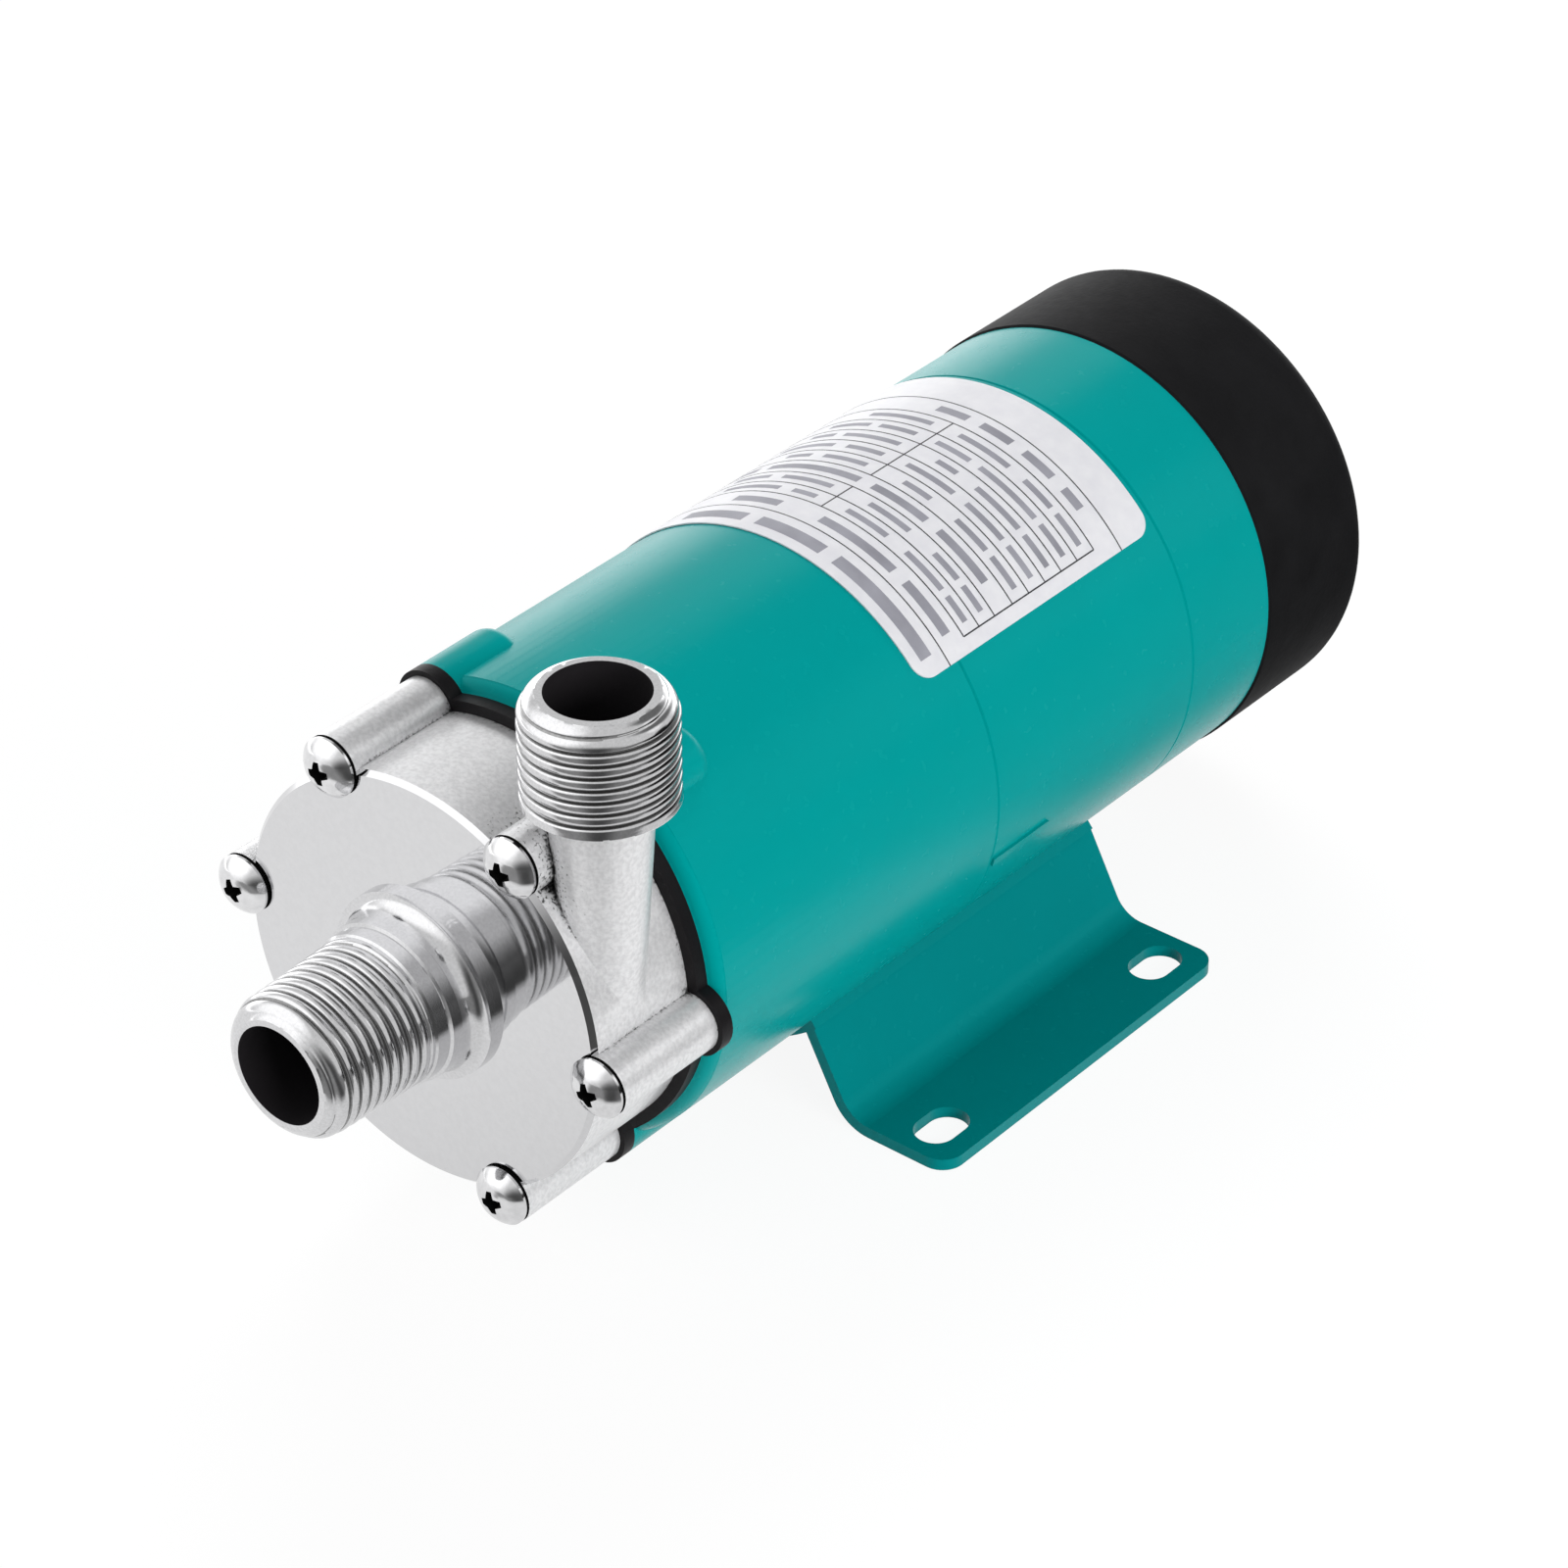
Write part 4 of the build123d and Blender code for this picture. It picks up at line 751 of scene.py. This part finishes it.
# plain grey bars where the photograph's label has its words: distance of a bar's middle
# behind the label's front edge and its height in millimetres, and pairs of angles
WORDS = [(3.1, 2.3, (43, 74, 78, 97, 101, 120)),
         (8.5, 1.7, (45, 60, 64, 86, 98, 112)),
         (12.7, 1.1, (45, 52, 54, 66, 72, 84, 93, 100, 104, 122)),
         (16.2, 1.1, (45, 52, 54, 62, 70, 82, 93, 108, 112, 124)),
         (19.9, 1.5, (50, 66, 70, 86, 90, 118, 122, 132)),
         (23.8, 1.1, (45, 54, 56, 66, 74, 82, 93, 106, 110, 118)),
         (27.5, 1.1, (45, 54, 56, 68, 72, 86, 93, 104, 108, 126)),
         (31.2, 1.1, (45, 54, 56, 70, 76, 82, 93, 110, 113, 121)),
         (34.9, 1.1, (45, 54, 56, 74, 77, 87, 93, 104, 107, 120)),
         (38.6, 1.1, (45, 54, 56, 65, 70, 85, 93, 112)),
         (42.9, 1.6, (52, 58, 62, 71, 75, 84, 88, 97))]
words = []
for middle, height, angles in WORDS:
    front, back = LABEL_FRONT + (middle - height / 2) * MM, LABEL_FRONT + (middle + height / 2) * MM
    words += [(front, back, first, last) for first, last in zip(angles[::2], angles[1::2])]
printed_bars("label_bars", words, grey_ink)


# Floor and surroundings

def bearing(azimuth, elevation):
    """Unit vector: azimuth from -Y toward +X, elevation above the floor, in degrees."""
    a, e = math.radians(azimuth), math.radians(elevation)
    return Vector((math.sin(a) * math.cos(e), -math.cos(a) * math.cos(e), math.sin(e)))


def floor_along(graph, azimuth, x=0.0, y=0.0):
    """Distance over the floor from a point, along a bearing."""
    direction = bearing(azimuth, 0)
    along = graph.vector("DOT_PRODUCT", graph.place(), direction)
    return graph.math("SUBTRACT", along, direction.dot(Vector((x, y, 0))))


def dark_wedge(graph, azimuth, x, y, start, full, inner, outer, least):
    """Factor that dims the floor in a wedge from a point, as a black card off to that side does.

    It starts between two distances; inner and outer are slopes to both sides."""
    ahead = floor_along(graph, azimuth, x, y)
    aside = graph.math("ABSOLUTE", floor_along(graph, azimuth + 90, x, y))
    slope = graph.math("DIVIDE", aside, graph.math("MAXIMUM", ahead, 0.001))
    return graph.math("MAXIMUM", graph.fade(slope, inner, outer, least, 1.0),
                      graph.fade(ahead, start, full, 1.0, 0.0))


def lobe(graph, azimuth, elevation, inner, outer, strength):
    """Soft patch of the surroundings round a bearing, angles in degrees."""
    toward = graph.vector("DOT_PRODUCT", graph.place("Generated"), bearing(azimuth, elevation))
    return graph.fade(toward, math.cos(math.radians(outer)), math.cos(math.radians(inner)), 0.0, strength)


FLOOR_HALF = 15.0
# share of the camera's view of the floor that is plain glow, and its strength; the rest
# shows the pump's shadow
FLOOR_GLOW_SHARE, FLOOR_GLOW = 0.86, 1.06
SOFT_LIGHT = 0.36
STUDIO_LIGHT = 0.8
# points on the floor that the dark wedges start from
UNDER_INLET = (0.010, -0.085)
UNDER_FACE = (0.032, -0.071)


def floor_finish():
    """Shows white to the camera with a faint shadow, and light and dark patches to gloss."""
    material = bpy.data.materials.new("studio_floor")
    graph = Graph(material)
    graph.nodes.clear()
    # more light in front on the left and behind on the left
    bright = graph.math("ADD", graph.fade(floor_along(graph, -45), 0.02, 0.12, 0.84, 1.0),
                        graph.fade(floor_along(graph, -138), 0.12, 0.45))
    # dark cards behind on the right and in front on the right: bearing, start point, where it
    # starts and is full, inner and outer slope, and the least that is left
    for wedge in ((132, *UNDER_INLET, 0.17, 0.22, 0.3, 0.9, 0.04),
                  (38, *UNDER_FACE, 0.04, 0.09, 1.3, 2.4, 0.3),
                  (38, *UNDER_FACE, 0.04, 0.09, 0.05, 0.6, 0.3)):
        bright = graph.math("MULTIPLY", bright, dark_wedge(graph, *wedge))
    # and a painted shadow under the motor's rear, which only gloss sees
    axes = graph.nodes.new("ShaderNodeSeparateXYZ")
    graph.wire(axes, {"Vector": graph.place()})
    rear_shadow = graph.math("MULTIPLY", graph.fade(axes.outputs["X"], 0.018, 0.05),
                            graph.fade(axes.outputs["Y"], 0.03, 0.07, 0.0, 0.8))
    bright = graph.math("MULTIPLY", bright, graph.math("SUBTRACT", 1.0, rear_shadow))
    matt = graph.wire(graph.nodes.new("ShaderNodeBsdfDiffuse"), {"Color": (0.8, 0.8, 0.8, 1)})
    for_gloss = graph.wire(graph.nodes.new("ShaderNodeEmission"), {"Strength": bright})
    for_camera = graph.wire(graph.nodes.new("ShaderNodeEmission"), {"Strength": FLOOR_GLOW})
    path = graph.nodes.new("ShaderNodeLightPath").outputs
    lit = graph.choose(path["Is Glossy Ray"], matt, for_gloss)
    glow = graph.choose(graph.math("MULTIPLY", path["Is Camera Ray"], FLOOR_GLOW_SHARE), lit, for_camera)
    graph.wire(graph.nodes.new("ShaderNodeOutputMaterial"), {"Surface": glow})
    return material


def studio_world():
    """Shows white to the camera, an even light to what is matt, and a studio to gloss."""
    world = bpy.data.worlds.new("studio")
    graph = Graph(world)
    graph.nodes.clear()
    axes = graph.nodes.new("ShaderNodeSeparateXYZ")
    graph.wire(axes, {"Vector": graph.place("Generated")})
    # bright all round, with a brighter strip low behind on the left
    strip = graph.math("MULTIPLY", lobe(graph, -138, 0, 35, 65, 1.4),
                       graph.fade(axes.outputs["Z"], 0.2, 0.42, 1.0, 0.0))
    total = graph.math("ADD", strip, STUDIO_LIGHT)
    # three dark cards, and two lamps, behind on the right and in front on the left: azimuth,
    # elevation, inner and outer angle, and strength
    for sign, patch in (("SUBTRACT", (132, 0, 8, 15, 0.77)),
                        ("SUBTRACT", (168, 49, 15, 32, 0.62)),
                        ("SUBTRACT", (38, -10, 12, 45, 0.72)),
                        ("ADD", (133, 33, 6, 15, 0.4)),
                        ("ADD", (-42, 38, 22, 50, 0.75))):
        total = graph.math(sign, total, lobe(graph, *patch))

    def background(strength):
        return graph.wire(graph.nodes.new("ShaderNodeBackground"), {"Color": WHITE, "Strength": strength})

    path = graph.nodes.new("ShaderNodeLightPath").outputs
    lit = graph.choose(path["Is Glossy Ray"], background(SOFT_LIGHT), background(total))
    by_eye = graph.math("MAXIMUM", path["Is Camera Ray"], path["Is Transmission Ray"])
    seen = graph.choose(by_eye, lit, background(1.0))
    graph.wire(graph.nodes.new("ShaderNodeOutputWorld"), {"Surface": seen})
    return world


corners = [(x * FLOOR_HALF, y * FLOOR_HALF, 0) for x, y in ((-1, -1), (1, -1), (1, 1), (-1, 1))]
floor = new_object("studio_floor", corners, [(0, 1, 2, 3)], floor_finish())
bpy.context.scene.world = studio_world()


# Lamps and camera

def soft_box(name, azimuth, elevation, distance, width, height, power):
    """Area light that looks at the pump from a bearing and lights only what is matt."""
    light = bpy.data.lights.new(name, "AREA")
    light.shape = "RECTANGLE"
    light.size = width
    light.size_y = height
    light.energy = power
    obj = bpy.data.objects.new(name, light)
    out = bearing(azimuth, elevation)
    obj.location = Vector((0, 0, AXIS_Z)) + out * distance
    obj.rotation_mode = "QUATERNION"
    obj.rotation_quaternion = out.to_track_quat("Z", "Y")
    obj.visible_glossy = False
    bpy.context.scene.collection.objects.link(obj)


soft_box("key_right", 80, 18, 1.3, 0.8, 0.5, 10.0)
soft_box("fill_front", -10, 30, 1.4, 0.9, 0.7, 2.0)
soft_box("rim_back", -140, 38, 1.4, 0.8, 0.5, 12.0)

# the photograph's viewpoint: angles in degrees, and the distance to a point beside the shaft
VIEW_AZIMUTH, VIEW_ELEVATION, VIEW_ROLL = 39.704, 33.640, -0.315
VIEW_DISTANCE = 753.198 * MM
VIEW_TARGET = Vector((3.663 * MM, -0.44 * MM, AXIS_Z - 3.771 * MM))
# focal length and width of the photograph, in its pixels
FOCAL_PIXELS, PHOTO_WIDTH = 5500.04, 1600
back = bearing(VIEW_AZIMUTH, VIEW_ELEVATION)
level = bearing(VIEW_AZIMUTH + 90, 0)
upward = back.cross(level)
roll = math.radians(VIEW_ROLL)
right = level * math.cos(roll) + upward * math.sin(roll)
up = upward * math.cos(roll) - level * math.sin(roll)
lens = bpy.data.cameras.new("camera")
lens.sensor_width = 36.0
lens.lens = FOCAL_PIXELS / PHOTO_WIDTH * lens.sensor_width
lens.clip_start = 0.05
lens.clip_end = 100
camera = bpy.data.objects.new("camera", lens)
camera.matrix_world = Matrix.Translation(VIEW_TARGET + back * VIEW_DISTANCE) @ Matrix(
    (right, up, back)).transposed().to_4x4()
bpy.context.scene.collection.objects.link(camera)
bpy.context.scene.camera = camera
bpy.context.scene.view_settings.view_transform = "Standard"
